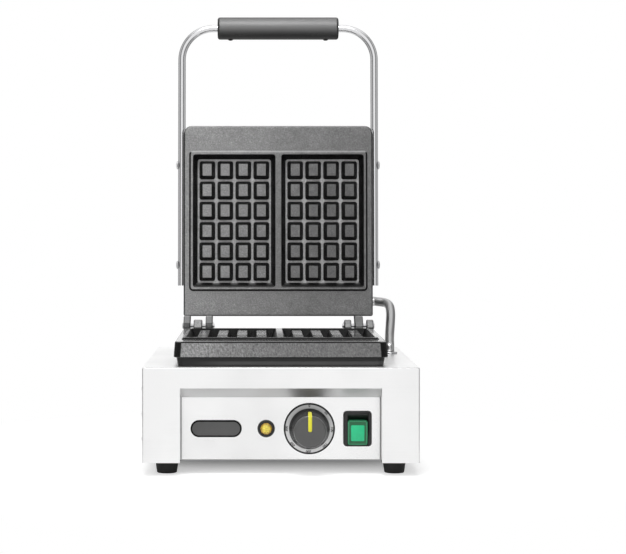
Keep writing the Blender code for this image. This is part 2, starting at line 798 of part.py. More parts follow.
def make_feet(parent, rubber, steel):
    """Four tapered rubber feet, each held by a screw from below."""
    hole = FOOT_SCREW_RADIUS + GAP
    foot_profile = [
        (hole, FOOT_HEIGHT),
        (FOOT_TOP_RADIUS, FOOT_HEIGHT),
        (FOOT_BOTTOM_RADIUS, FOOT_EDGE),
        (FOOT_BOTTOM_RADIUS - FOOT_EDGE, 0),
        (FOOT_POCKET_RADIUS, 0),
        (FOOT_POCKET_RADIUS, FOOT_POCKET_DEPTH),
        (hole, FOOT_POCKET_DEPTH),
    ]
    seat = FOOT_POCKET_DEPTH - GAP
    tip = FOOT_HEIGHT + SHEET + FOOT_SCREW_REACH
    screw_profile = [
        (0, seat - FOOT_SCREW_HEAD),
        (FOOT_SCREW_HEAD_RADIUS, seat - FOOT_SCREW_HEAD),
        (FOOT_SCREW_HEAD_RADIUS, seat),
        (FOOT_SCREW_RADIUS, seat),
        (FOOT_SCREW_RADIUS, tip),
        (0, tip),
    ]
    for name, x, y in foot_places():
        foot = add_turned(bmesh.new(), foot_profile, (0, 0, 0), "z")
        screw = add_turned(bmesh.new(), screw_profile, (0, 0, 0), "z", SMALL_STEPS)
        smooth(make(f"foot_{name}", foot, rubber, parent, (x, y, 0)))
        smooth(make(f"foot_screw_{name}", screw, steel, parent, (x, y, 0)))


def lug_outline(heel):
    """Return the side outline of a hinge lug in (y, z) of the plate frame."""
    root = PLATE_NEAR + WELD
    outline = [
        (-root, PLATE_MARGIN),
        (-root, PLATE_BACK - WELD),
        (-LUG_RADIUS / 2, LUG_RADIUS),
    ]
    steps = ROUND_STEPS // 2
    last = 0.0 if heel else -90.0
    for i in range(steps + 1):
        angle = math.radians(90.0 + (last - 90.0) * i / steps)
        outline.append((LUG_RADIUS * math.cos(angle), LUG_RADIUS * math.sin(angle)))
    if heel:
        reach = PLATE_NEAR - GAP
        tilt = math.tan(LEAN)
        outline.append((HEEL_REACH, -reach / math.cos(LEAN) + HEEL_REACH * tilt))
        outline.append((0, -reach / math.cos(LEAN)))
    outline.append((-LUG_RADIUS / 2, -LUG_RADIUS))
    return outline


def make_plate(name, parent, iron, heel):
    """Cast plate: two cavities of waffle studs, a fork lug and a tongue lug."""
    half = PLATE_WIDTH / 2
    length = (PLATE_FAR - PLATE_NEAR) / 2
    centre = (0, -PLATE_CENTRE)
    rings = []
    for height in (PLATE_MARGIN, PLATE_BACK):
        grow = PLATE_DRAFT * (height - PLATE_MARGIN) / PLATE_THICKNESS
        outline = rounded_rectangle(
            half + grow, length, PLATE_CORNER, centre, upper_radius=PLATE_NEAR_CORNER
        )
        rings.append(at_height(outline, height))
    plate = make(name, add_loft(bmesh.new(), rings), iron, parent)

    grid_x, grid_y = STUD_GRID
    wall = CAVITY_WALL
    inner_x = CENTRE_RIDGE_HALF
    outer_x = inner_x + grid_x + 2 * wall
    cavity_y = grid_y / 2 + wall
    ridge_x, ridge_y = outer_x + RIDGE_WIDTH, cavity_y + RIDGE_WIDTH

    rings = []
    for height, grow in ((GAP / 2, 0), (PLATE_MARGIN, RIDGE_SLOPE), (PLATE_MARGIN + WELD, RIDGE_SLOPE)):
        outline = rounded_rectangle(ridge_x + grow, ridge_y + grow, RIDGE_WIDTH, centre, 1)
        rings.append(at_height(outline, height))
    join(plate, add_loft(bmesh.new(), rings))

    slope = CAVITY_WALL_RUN / CAVITY_DEPTH
    cavities = bmesh.new()
    for side in (-1, 1):
        rings = []
        for height in (-OVERRUN, CAVITY_DEPTH):
            shrink = slope * height
            middle = side * (inner_x + outer_x) / 2
            outline = rounded_rectangle(
                (outer_x - inner_x) / 2 - shrink, cavity_y - shrink, RIDGE_WIDTH,
                (middle, -PLATE_CENTRE), 1,
            )
            rings.append(at_height(outline, height))
        add_loft(cavities, rings)
    cut(plate, cavities)

    studs = bmesh.new()
    for side in (-1, 1):
        for column in range(STUD_COLUMNS):
            for row in range(STUD_ROWS):
                x = side * (inner_x + wall + STUD_BASE[0] / 2 + column * STUD_PITCH[0])
                y = -PLATE_CENTRE + (row - (STUD_ROWS - 1) / 2) * STUD_PITCH[1]
                add_stud(studs, x, y)
    join(plate, studs)

    bosses = bmesh.new()
    for x, near in plate_screw_places():
        add_rod(
            bosses, (x, -near, PLATE_BACK), "z", BOSS_RADIUS, -WELD, BOSS_HEIGHT
        )
    join(plate, bosses)

    lugs = bmesh.new()
    for low, high in ((-FORK_OUTER_HALF, -FORK_SLOT_HALF), (FORK_SLOT_HALF, FORK_OUTER_HALF)):
        add_prism(lugs, lug_outline(False), -LUG_CENTRE + low, -LUG_CENTRE + high, "x")
    add_prism(
        lugs, lug_outline(heel), LUG_CENTRE - TONGUE_HALF, LUG_CENTRE + TONGUE_HALF, "x"
    )
    join(plate, lugs)

    bores = bmesh.new()
    for side in (-1, 1):
        span = FORK_OUTER_HALF + OVERRUN
        add_rod(
            bores, (side * LUG_CENTRE, 0, 0), "x", PIN_RADIUS + GAP, -span, span, SMALL_STEPS
        )
    for x, near in plate_screw_places():
        add_rod(
            bores, (x, -near, 0), "z", PLATE_SCREW_RADIUS + GAP,
            BOSS_BORE_FLOOR, PLATE_BACK + BOSS_HEIGHT + OVERRUN,
        )
    return smooth(cut(plate, bores), 20.0)


def add_stud(shape, x, y):
    """Add one tapered waffle stud, rooted a little below the cavity floor."""
    rings = []
    run = CAVITY_DEPTH - STUD_SINK
    for height in (CAVITY_DEPTH + WELD, STUD_SINK):
        share = (height - STUD_SINK) / run
        half_x = (STUD_TOP[0] + (STUD_BASE[0] - STUD_TOP[0]) * share) / 2
        half_y = (STUD_TOP[1] + (STUD_BASE[1] - STUD_TOP[1]) * share) / 2
        outline = [
            (x - half_x, y - half_y), (x + half_x, y - half_y),
            (x + half_x, y + half_y), (x - half_x, y + half_y),
        ]
        rings.append(at_height(outline, height))
    return add_loft(shape, rings)


def make_hinge_pins(parent, steel):
    """Two hinge pins, each with a head outside and a spring clip inside."""
    outer = FORK_OUTER_HALF + GAP
    for name, side in (("left", -1), ("right", 1)):
        profile = [
            (0, -outer - PIN_TAIL),
            (PIN_RADIUS, -outer - PIN_TAIL),
            (PIN_RADIUS, outer),
            (PIN_HEAD_RADIUS, outer),
            (PIN_HEAD_RADIUS, outer + PIN_HEAD / 2),
            (PIN_RADIUS, outer + PIN_HEAD),
            (0, outer + PIN_HEAD),
        ]
        profile = [(radius, side * along) for radius, along in profile]
        place = (side * LUG_CENTRE, 0, 0)
        pin = add_turned(bmesh.new(), profile, (0, 0, 0), "x", SMALL_STEPS)
        smooth(make(f"hinge_pin_{name}", pin, steel, parent, place))
        near, far = outer, outer + CLIP_THICKNESS
        ring = [
            (PIN_RADIUS + GAP, -side * near), (CLIP_RADIUS, -side * near),
            (CLIP_RADIUS, -side * far), (PIN_RADIUS + GAP, -side * far),
        ]
        clip = add_turned(bmesh.new(), ring, (0, 0, 0), "x", SMALL_STEPS)
        smooth(make(f"hinge_clip_{name}", clip, steel, parent, place))


def make_tray(parent, steel):
    """Black dish that carries the lower plate on the casing top."""
    low, high = BASE_TOP + GAP, HINGE_HEIGHT - PLATE_BACK - GAP
    length = (TRAY_BACK - TRAY_FRONT) / 2
    centre = (0, (TRAY_BACK + TRAY_FRONT) / 2)
    flare = (TRAY_TOP_WIDTH - TRAY_BOTTOM_WIDTH) / 2
    bottom_half = TRAY_BOTTOM_WIDTH / 2
    floor = low + TRAY_SHEET
    levels = (
        (low, 0, 0), (high, flare, 0), (high, flare, TRAY_SHEET), (floor, 0, TRAY_SHEET),
    )
    rings = []
    for height, grow, inset in levels:
        outline = rounded_rectangle(
            bottom_half + grow - inset, length - flare + grow - inset,
            TRAY_CORNER - inset, centre,
        )
        rings.append(at_height(outline, height))
    tray = make("lower_tray", add_loft(bmesh.new(), rings), steel, parent)
    holes = add_top_holes(bmesh.new(), low - OVERRUN, floor + OVERRUN)
    return smooth(cut(tray, holes))


def make_element(name, parent, tail, sheath):
    """Bent tubular heating element that lies against the back of a plate."""
    path = element_route(tail)
    shape = add_tube(bmesh.new(), path, [ELEMENT_RADIUS] * len(path), ELEMENT_SIDES)
    return smooth(make(name, shape, sheath, parent))


def make_bulb(parent, copper):
    """Thermostat bulb under the lower plate, with its capillary into the base."""
    height = HINGE_HEIGHT - PLATE_BACK - GAP - BULB_RADIUS
    hole_y = HINGE_PLACE - BULB_START
    end = BASE_TOP - SHEET - 4 * BULB_RADIUS
    turn = 2 * BULB_RADIUS
    start_y = hole_y - turn - BULB_RADIUS
    path = [
        Vector((0, start_y - BULB_LENGTH, height)),
        Vector((0, start_y - BULB_LENGTH + BULB_RADIUS / 2, height)),
        Vector((0, start_y - BULB_RADIUS / 2, height)),
        Vector((0, start_y, height)),
    ]
    radii = [BULB_RADIUS / 2, BULB_RADIUS, BULB_RADIUS, CAPILLARY_RADIUS]
    curve = bend((0, hole_y - turn, height - turn), 90, 0, turn, (0, 1, 0), (0, 0, 1), 5)
    path += curve + [Vector((0, hole_y, end))]
    radii += [CAPILLARY_RADIUS] * (len(curve) + 1)
    shape = add_tube(bmesh.new(), path, radii, HOLE_STEPS)
    return smooth(make("thermostat_bulb", shape, copper, parent))


def make_plate_screws(parent, steel):
    """Four screws from inside the base up into the lower plate's bosses."""
    seat = BASE_TOP - SHEET - GAP
    tip = HINGE_HEIGHT - BOSS_BORE_FLOOR - GAP
    profile = [
        (0, seat - PLATE_SCREW_HEAD),
        (PLATE_SCREW_HEAD_RADIUS, seat - PLATE_SCREW_HEAD),
        (PLATE_SCREW_HEAD_RADIUS, seat),
        (PLATE_SCREW_RADIUS, seat),
        (PLATE_SCREW_RADIUS, tip),
        (0, tip),
    ]
    for i, (x, near) in enumerate(plate_screw_places(), 1):
        screw = add_turned(bmesh.new(), profile, (0, 0, 0), "z", SMALL_STEPS)
        smooth(make(f"plate_screw_{i}", screw, steel, parent, (x, HINGE_PLACE - near, 0)))


def hood_rings(inset, low):
    """Return the rings of the hood's skin, inset by the sheet on the inside."""
    half = HOOD_WIDTH / 2
    length = (HOOD_FAR - HOOD_NEAR) / 2
    centre = (0, -(HOOD_FAR + HOOD_NEAR) / 2)
    levels = [(low, 0.0)]
    for i in range(HOOD_SHOULDER_STEPS + 1):
        angle = math.pi / 2 * i / HOOD_SHOULDER_STEPS
        rise = HOOD_TOP - HOOD_SHOULDER + HOOD_SHOULDER * math.sin(angle)
        levels.append((rise, HOOD_SHOULDER * (1 - math.cos(angle))))
    rings = []
    for height, shrink in levels:
        radius = HOOD_CORNER + shrink / 2 - inset
        outline = rounded_rectangle(
            half - shrink - inset * (1 - shrink / HOOD_SHOULDER / 2),
            length - shrink - inset * (1 - shrink / HOOD_SHOULDER / 2),
            radius, centre,
        )
        if height > low:
            height -= inset * (height - HOOD_TOP + HOOD_SHOULDER) / HOOD_SHOULDER
        rings.append(at_height(outline, height))
    return rings


def make_hood(parent, steel):
    """Stainless hood over the back of the upper plate."""
    low = PLATE_BACK + GAP
    rings = list(reversed(hood_rings(0, low))) + hood_rings(HOOD_SHEET, low)
    hood = make("upper_hood", add_loft(bmesh.new(), rings), steel, parent)
    holes = bmesh.new()
    half = HOOD_WIDTH / 2
    for near in HANDLE_SCREWS:
        for side in (-1, 1):
            place = (side * half, -near, HANDLE_PLANE)
            add_rod(holes, place, "x", HANDLE_SCREW_RADIUS + GAP, -OVERRUN, OVERRUN)
    place = (half, -CONDUIT_HOOD_NEAR, CONDUIT_HOOD_RISE)
    add_rod(holes, place, "x", CONDUIT_RADIUS + GAP, -OVERRUN, OVERRUN, SMALL_STEPS)
    for x, near in plate_screw_places():
        add_rod(holes, (x, -near, HOOD_TOP), "z", PLATE_SCREW_RADIUS + GAP, -OVERRUN, OVERRUN)
    return smooth(cut(hood, holes), 30.0)


def make_upper_inside(parent, steel, fibre):
    """Reflector and insulation between the upper element and its hood."""
    half = HOOD_WIDTH / 2 - HOOD_SHEET - REFLECTOR_INSET
    near = HOOD_NEAR + HOOD_SHEET + REFLECTOR_INSET
    far = HOOD_FAR - HOOD_SHEET - REFLECTOR_INSET
    low = max(PLATE_BACK + BOSS_HEIGHT, PLATE_BACK + GAP + 2 * ELEMENT_RADIUS) + GAP
    middle = low + REFLECTOR_SHEET
    top = middle + GAP + MAT_THICKNESS
    sheets = (
        ("upper_reflector", steel, low, middle),
        ("upper_insulation", fibre, middle + GAP, top),
    )
    for name, material, bottom, lid in sheets:
        sheet = make(name, add_box(
            bmesh.new(), (-half, -far, bottom), (half, -near, lid)
        ), material, parent)
        holes = bmesh.new()
        for x, place in plate_screw_places():
            add_rod(
                holes, (x, -place, 0), "z", PLATE_SCREW_RADIUS + 2 * GAP,
                bottom - OVERRUN, lid + OVERRUN, HOLE_STEPS,
            )
        for x in (-ELEMENT_RUNS[0], ELEMENT_RUNS[0]):
            add_rod(
                holes, (x, -ELEMENT_TAIL, 0), "z", MAT_HOLE_RADIUS,
                bottom - OVERRUN, lid + OVERRUN, HOLE_STEPS,
            )
        cut(sheet, holes)


def make_hood_screws(parent, steel):
    """Four long screws through the hood into the upper plate's bosses."""
    seat = HOOD_TOP + GAP
    profile = [
        (0, BOSS_BORE_FLOOR + GAP),
        (PLATE_SCREW_RADIUS, BOSS_BORE_FLOOR + GAP),
        (PLATE_SCREW_RADIUS, seat),
        (PLATE_SCREW_HEAD_RADIUS, seat),
        (PLATE_SCREW_HEAD_RADIUS, seat + PLATE_SCREW_HEAD / 3),
        (PLATE_SCREW_HEAD_RADIUS / 2, HOOD_SCREW_TOP),
        (0, HOOD_SCREW_TOP),
    ]
    for i, (x, near) in enumerate(plate_screw_places(), 1):
        screw = add_turned(bmesh.new(), profile, (0, 0, 0), "z", SMALL_STEPS)
        smooth(make(f"hood_screw_{i}", screw, steel, parent, (x, -near, 0)))


def make_handle(parent, chrome, plastic, steel):
    """Bent chrome rod, its round grip and the screws that hold both."""
    span, radius = HANDLE_HALF_SPAN, HANDLE_BEND
    x_axis, out = (1, 0, 0), (0, -1, 0)
    path = [Vector((-span, -HANDLE_LEG_END, HANDLE_PLANE))]
    path += bend(
        (-span + radius, -HANDLE_REACH + radius, HANDLE_PLANE), 180, 90, radius, x_axis, out
    )
    path += bend(
        (span - radius, -HANDLE_REACH + radius, HANDLE_PLANE), 90, 0, radius, x_axis, out
    )
    path.append(Vector((span, -HANDLE_LEG_END, HANDLE_PLANE)))
    rod = make("handle_rod", add_tube(
        bmesh.new(), path, [HANDLE_RADIUS] * len(path), SMALL_STEPS
    ), chrome, parent)
    holes = bmesh.new()
    for near in HANDLE_SCREWS:
        for side in (-1, 1):
            reach = HANDLE_RADIUS + OVERRUN
            place = (side * span, -near, HANDLE_PLANE)
            add_rod(holes, place, "x", HANDLE_SCREW_RADIUS + GAP, -reach, reach)
    smooth(cut(rod, holes))

    half = GRIP_LENGTH / 2
    bore = HANDLE_RADIUS + GAP
    profile = [(bore, -half)]
    for end in (-1, 1):
        arc = []
        for i in range(4):
            angle = math.pi / 2 * i / 3
            arc.append((
                GRIP_RADIUS - GRIP_EDGE * (1 - math.cos(angle)),
                end * (half - GRIP_EDGE * (1 - math.sin(angle))),
            ))
        profile += list(reversed(arc)) if end < 0 else arc
    profile.append((bore, half))
    place = (0, -HANDLE_REACH, HANDLE_PLANE)
    grip = make("handle_grip", add_turned(
        bmesh.new(), profile, (0, 0, 0), "x"
    ), plastic, parent, place)
    holes = bmesh.new()
    for side in (-1, 1):
        add_rod(
            holes, (side * GRIP_SCREW_SPACING, 0, 0), "y", GRIP_SCREW_RADIUS + GAP,
            HANDLE_RADIUS / 2, GRIP_RADIUS + OVERRUN,
        )
    smooth(cut(grip, holes))

    profile = [
        (0, HANDLE_RADIUS + GAP),
        (GRIP_SCREW_RADIUS, HANDLE_RADIUS + GAP),
        (GRIP_SCREW_RADIUS, GRIP_RADIUS + GAP),
        (GRIP_SCREW_HEAD_RADIUS, GRIP_RADIUS + GAP),
        (GRIP_SCREW_HEAD_RADIUS, GRIP_RADIUS + GAP + GRIP_SCREW_HEAD / 2),
        (GRIP_SCREW_HEAD_RADIUS / 2, GRIP_RADIUS + GAP + GRIP_SCREW_HEAD),
        (0, GRIP_RADIUS + GAP + GRIP_SCREW_HEAD),
    ]
    for name, side in (("left", -1), ("right", 1)):
        screw = add_turned(bmesh.new(), profile, (0, 0, 0), "y", SMALL_STEPS)
        place = (side * GRIP_SCREW_SPACING, -HANDLE_REACH, HANDLE_PLANE)
        smooth(make(f"grip_screw_{name}", screw, steel, parent, place))

    seat = span + HANDLE_RADIUS + GAP
    tip = HOOD_WIDTH / 2 - HOOD_SHEET - HANDLE_SCREW_TIP
    profile = [
        (0, tip),
        (HANDLE_SCREW_RADIUS, tip),
        (HANDLE_SCREW_RADIUS, seat),
        (HANDLE_SCREW_HEAD_RADIUS, seat),
        (HANDLE_SCREW_HEAD_RADIUS * 4 / 5, seat + HANDLE_SCREW_HEAD * 2 / 3),
        (HANDLE_SCREW_HEAD_RADIUS * 2 / 5, seat + HANDLE_SCREW_HEAD),
        (0, seat + HANDLE_SCREW_HEAD),
    ]
    for name, side in (("left", -1), ("right", 1)):
        for level, near in zip(("near", "far"), HANDLE_SCREWS):
            mirrored = [(radius, side * along) for radius, along in profile]
            screw = add_turned(bmesh.new(), mirrored, (0, 0, 0), "x", SMALL_STEPS)
            place = (0, -near, HANDLE_PLANE)
            smooth(make(f"handle_screw_{name}_{level}", screw, steel, parent, place))


def knob_side(along, offset):
    """Return the radius of the knob's tapered side, moved out by an offset."""
    run, drop = KNOB_HEIGHT - KNOB_SKIRT, KNOB_SKIRT_RADIUS - KNOB_FACE_RADIUS
    slant = math.hypot(run, drop)
    return KNOB_SKIRT_RADIUS + offset * slant / run - drop * (along - KNOB_SKIRT) / run


def pointer_outline(out, depth, end_slack):
    """Return the pointer strip's outline in (distance from knob back, height)."""
    start = POINTER_START - end_slack
    face = KNOB_HEIGHT
    return [
        (start, knob_side(start, out)),
        (face + out, knob_side(face + out, out)),
        (face + out, -end_slack),
        (face - depth, -end_slack),
        (face - depth, knob_side(face - depth, -depth)),
        (start, knob_side(start, -depth)),
    ]


def make_knob(parent, plastic, yellow, steel):
    """Knob with its let-in pointer strip, on the thermostat shaft."""
    profile = [
        (0, 0),
        (KNOB_SKIRT_RADIUS, 0),
        (KNOB_SKIRT_RADIUS, -KNOB_SKIRT),
        (knob_side(KNOB_HEIGHT - KNOB_EDGE, 0), -KNOB_HEIGHT + KNOB_EDGE),
        (KNOB_FACE_RADIUS - KNOB_EDGE, -KNOB_HEIGHT),
        (0, -KNOB_HEIGHT),
    ]
    knob = make("knob", add_turned(
        bmesh.new(), profile, (0, KNOB_BACK, 0), "y", 28
    ), plastic, parent)
    slots = bmesh.new()
    half = POINTER_WIDTH / 2 + GAP
    outline = [
        (KNOB_BACK - along, height)
        for along, height in pointer_outline(OVERRUN, POINTER_SEAT, GAP)
    ]
    add_prism(slots, outline, -half, half, "x")
    add_rod(
        slots, (0, KNOB_BACK, 0), "y", SHAFT_RADIUS + GAP, -SHAFT_SEAT, OVERRUN, SMALL_STEPS
    )
    smooth(cut(knob, slots), 40.0)

    outline = [
        (KNOB_BACK - along, height)
        for along, height in pointer_outline(POINTER_PROUD, POINTER_SEAT - GAP, 0)
    ]
    half = POINTER_WIDTH / 2
    make("knob_pointer", add_prism(bmesh.new(), outline, -half, half, "x"), yellow, parent)

    front = KNOB_BACK - SHAFT_SEAT + GAP
    back = RECESS_DEPTH + SHEET + SHAFT_TAIL
    shaft = add_rod(bmesh.new(), (0, 0, 0), "y", SHAFT_RADIUS, front, back)
    smooth(make("thermostat_shaft", shaft, steel, parent))


def make_thermostat(parent, dark, silver):
    """Thermostat body behind the panel and the dial ring in front of it."""
    front = RECESS_DEPTH + SHEET + GAP
    half = THERMOSTAT_WIDTH / 2
    body = make("thermostat_body", add_prism(
        bmesh.new(),
        rounded_rectangle(half, half, FOLD_RADIUS, (KNOB_PLACE, CONTROL_ROW), 1),
        front, front + THERMOSTAT_DEPTH, "y",
    ), dark, parent)
    place = (KNOB_PLACE, 0, CONTROL_ROW)
    join(body, add_rod(
        bmesh.new(), place, "y", THERMOSTAT_NECK_RADIUS, RECESS_DEPTH, front + WELD, ROUND_STEPS
    ))
    floor = RECESS_DEPTH + SHEET + SHAFT_TAIL + GAP
    cut(body, add_rod(
        bmesh.new(), place, "y", SHAFT_RADIUS + GAP, RECESS_DEPTH - OVERRUN, floor
    ))
    ring = [
        (DIAL_HOLE_RADIUS, RECESS_DEPTH - GAP),
        (DIAL_RADIUS, RECESS_DEPTH - GAP),
        (DIAL_RADIUS, RECESS_DEPTH - GAP - DIAL_THICKNESS),
        (DIAL_HOLE_RADIUS, RECESS_DEPTH - GAP - DIAL_THICKNESS),
    ]
    dial = add_turned(bmesh.new(), ring, (0, 0, 0), "y", 32)
    smooth(make("dial_ring", dial, silver, parent, place))


def make_lamp(parent, black, amber, dark):
    """Pilot lamp: bezel with its barrel, amber lens and the nut behind the panel."""
    face = RECESS_DEPTH - GAP
    seat_radius = LAMP_LENS_RADIUS + GAP
    front = face - LAMP_FLANGE
    profile = [
        (0, face + LAMP_BARREL),
        (LAMP_BARREL_RADIUS, face + LAMP_BARREL),
        (LAMP_BARREL_RADIUS, face),
        (LAMP_FLANGE_RADIUS, face),
        (LAMP_FLANGE_RADIUS - LAMP_FLANGE / 3, front),
        (seat_radius, front),
        (seat_radius, front + LAMP_LENS_SEAT),
        (0, front + LAMP_LENS_SEAT),
    ]
    place = (LAMP_PLACE, 0, CONTROL_ROW)
    bezel = add_turned(bmesh.new(), profile, (0, 0, 0), "y")
    smooth(make("pilot_bezel", bezel, black, parent, place))

    seat = front + LAMP_LENS_SEAT - GAP
    steps = 4
    profile = [(0, seat)]
    for i in range(steps + 1):
        angle = math.pi / 2 * i / steps
        radius = LAMP_LENS_RADIUS * math.cos(angle)
        profile.append((radius if i < steps else 0, front - LAMP_LENS_CROWN * math.sin(angle)))
    profile.insert(1, (LAMP_LENS_RADIUS, seat))
    lens = add_turned(bmesh.new(), profile, (0, 0, 0), "y", 16)
    smooth(make("pilot_lens", lens, amber, parent, place))

    low = RECESS_DEPTH + SHEET + GAP
    rings = []
    for y in (low, low + LAMP_NUT):
        outer = circle(LAMP_NUT_RADIUS, 6)
        rings.append([(x, y, z) for x, z in outer])
    nut = make("pilot_nut", add_loft(bmesh.new(), rings), dark, parent, place)
    cut(nut, add_rod(
        bmesh.new(), (0, 0, 0), "y", LAMP_BARREL_RADIUS + GAP, low - OVERRUN,
        low + LAMP_NUT + OVERRUN, ROUND_STEPS,
    ))


def make_switch(parent, black, green):
    """Rocker switch: snap-in housing with a visor above its window, and the rocker."""
    face = RECESS_DEPTH - GAP
    half_x, half_z = SWITCH_FRAME[0] / 2, SWITCH_FRAME[1] / 2
    centre = (SWITCH_PLACE, CONTROL_ROW)
    rings = []
    for y, shrink in ((face, 0), (face - SWITCH_PROUD / 2, 0), (face - SWITCH_PROUD, SWITCH_PROUD / 3)):
        outline = rounded_rectangle(half_x - shrink, half_z - shrink, SWITCH_CORNER, centre)
        rings.append([(x, y, z) for x, z in outline])
    housing = make("switch_housing", add_loft(bmesh.new(), rings), black, parent)
    window_x, swing = switch_window()
    body_x, body_z = window_x + SWITCH_WALL, swing + SWITCH_WALL
    pivot_z = CONTROL_ROW - ROCKER_LOW
    back = face + SWITCH_BODY_DEPTH
    join(housing, add_box(
        bmesh.new(),
        (centre[0] - body_x, face - WELD, pivot_z - body_z),
        (centre[0] + body_x, back, pivot_z + body_z),
    ))

    floor = back - SWITCH_WALL_BACK
    visor = pivot_z + swing
    lip = CONTROL_ROW + half_z - SWITCH_PROUD
    pocket = [
        (face - SWITCH_PROUD - OVERRUN, pivot_z - swing),
        (floor, pivot_z - swing),
        (floor, visor),
        (face - VISOR_DROP / 2, visor),
        (face - SWITCH_PROUD, lip),
        (face - SWITCH_PROUD - OVERRUN, lip),
    ]
    cut(housing, add_prism(
        bmesh.new(), pocket, SWITCH_PLACE - window_x, SWITCH_PLACE + window_x, "x"
    ))
    smooth(housing)

    half = ROCKER_SIZE[1] / 2
    tilt = math.radians(ROCKER_THROW / 2)
    end_front = ROCKER_FRONT - half * math.tan(tilt)
    outline = [
        (-ROCKER_FRONT, 0), (-end_front, -half), (0, -half),
        (ROCKER_BACK, -half / 2), (ROCKER_BACK, half / 2), (0, half), (-end_front, half),
    ]
    leaned = [
        (y * math.cos(tilt) - z * math.sin(tilt), y * math.sin(tilt) + z * math.cos(tilt))
        for y, z in outline
    ]
    width = ROCKER_SIZE[0] / 2
    pivot = (SWITCH_PLACE, face + ROCKER_PIVOT_DEPTH, pivot_z)
    rocker = add_prism(bmesh.new(), leaned, -width, width, "x")
    make("switch_rocker", rocker, green, parent, pivot)


def make_badge(parent, dark):
    """Bare pill-shaped badge plate."""
    half_x, half_z = BADGE_SIZE[0] / 2, BADGE_SIZE[1] / 2
    outline = rounded_rectangle(half_x, half_z, half_z - WELD, (0, 0), 6)
    front = RECESS_DEPTH - GAP - BADGE_THICKNESS
    shape = add_prism(bmesh.new(), outline, front, RECESS_DEPTH - GAP, "y")
    smooth(make("badge_plate", shape, dark, parent, (BADGE_PLACE, 0, CONTROL_ROW)))


def conduit_route():
    """Return the conduit's path from inside the base to inside the hood."""
    x, y = CONDUIT_BASE
    hood = hood_point(HOOD_WIDTH / 2, CONDUIT_HOOD_NEAR, CONDUIT_HOOD_RISE)
    run, rise = hood.y - y, hood.z - BASE_TOP
    lead = FERRULE_HEIGHT + CONDUIT_RADIUS / 3
    points = [
        Vector((x, y, BASE_TOP + lead)),
        Vector((x, y, BASE_TOP + lead + CONDUIT_RADIUS)),
    ]
    shares = zip(CONDUIT_RUN_SHARES, CONDUIT_RISE_SHARES, CONDUIT_BULGE_SHARES)
    for run_share, rise_share, bulge_share in shares:
        points.append(Vector((
            x + CONDUIT_BULGE * bulge_share, y + run * run_share, BASE_TOP + rise * rise_share
        )))
    outlet = hood + Vector((lead, 0, 0))
    points += [outlet + Vector((CONDUIT_RADIUS / 2, 0, 0)), outlet]
    sleeve = FERRULE_HEIGHT + 2 * GAP
    start = [
        Vector((x, y, BASE_TOP - SHEET - CONDUIT_INSIDE)), Vector((x, y, BASE_TOP + sleeve))
    ]
    end = [
        hood + Vector((sleeve, 0, 0)), hood - Vector((HOOD_SHEET + CONDUIT_INSIDE, 0, 0))
    ]
    return start + smooth_route(points, CONDUIT_STEPS) + end


def make_conduit(parent, lid, flex, steel):
    """Flexible conduit that carries the upper wiring, with a ferrule at each end."""
    path = conduit_route()
    shape = add_tube(bmesh.new(), path, [CONDUIT_RADIUS] * len(path), SMALL_STEPS)
    smooth(make("conduit", shape, flex, parent))
    bore = CONDUIT_RADIUS + GAP
    profile = [
        (bore, 0), (FERRULE_RADIUS, 0), (FERRULE_RADIUS, FERRULE_HEIGHT / 2),
        (FERRULE_RADIUS - FERRULE_HEIGHT / 4, FERRULE_HEIGHT), (bore, FERRULE_HEIGHT),
    ]
    x, y = CONDUIT_BASE
    ferrule = add_turned(bmesh.new(), profile, (0, 0, 0), "z")
    smooth(make("conduit_ferrule_base", ferrule, steel, parent, (x, y, BASE_TOP + GAP)))
    ferrule = add_turned(bmesh.new(), profile, (0, 0, 0), "x")
    place = (HOOD_WIDTH / 2 + GAP, -CONDUIT_HOOD_NEAR, CONDUIT_HOOD_RISE)
    smooth(make("conduit_ferrule_hood", ferrule, steel, lid, place))


def make_inlet(parent, black, white):
    """Rear cable gland with its nut, and the terminal block inside."""
    x, z = GLAND_PLACE
    out = BASE_DEPTH + GAP
    tail = -SHEET - GAP - GLAND_TAIL
    profile = [
        (GLAND_BORE_RADIUS, tail),
        (GLAND_BARREL_RADIUS, tail),
        (GLAND_BARREL_RADIUS, 0),
        (GLAND_FLANGE_RADIUS, 0),
        (GLAND_FLANGE_RADIUS, GLAND_FLANGE),
        (GLAND_NOSE_RADIUS, GLAND_FLANGE),
        (GLAND_NOSE_RADIUS - GLAND_FLANGE / 2, GLAND_NOSE),
        (GLAND_BORE_RADIUS, GLAND_NOSE),
    ]
    gland = add_turned(bmesh.new(), profile, (0, 0, 0), "y")
    smooth(make("cable_gland", gland, black, parent, (x, out, z)))
    high = BASE_DEPTH - SHEET - GAP
    rings = []
    for y in (high - GLAND_NUT, high):
        rings.append([(a, y, b) for a, b in circle(GLAND_FLANGE_RADIUS, 6)])
    nut = make("gland_nut", add_loft(bmesh.new(), rings), black, parent, (x, 0, z))
    cut(nut, add_rod(
        bmesh.new(), (0, 0, 0), "y", GLAND_BARREL_RADIUS + GAP,
        high - GLAND_NUT - OVERRUN, high + OVERRUN, ROUND_STEPS,
    ))

    width, depth, height = TERMINAL_SIZE
    low = FOOT_HEIGHT + SHEET + 2 * GAP
    y = BASE_DEPTH - SHEET - GAP - GLAND_TAIL - GLAND_NUT - depth
    block = make("terminal_block", add_box(
        bmesh.new(), (-width / 2, -depth / 2, 0), (width / 2, depth / 2, height)
    ), white, parent, (x, y, low))
    slots = bmesh.new()
    for i in range(TERMINAL_POLES):
        place = (i - (TERMINAL_POLES - 1) / 2) * width / TERMINAL_POLES
        for side in (-1, 1):
            add_rod(
                slots, (place, side * depth / 4, 0), "z", TERMINAL_SLOT / 2,
                height * 2 / 3, height + OVERRUN, HOLE_STEPS,
            )
    cut(block, slots)


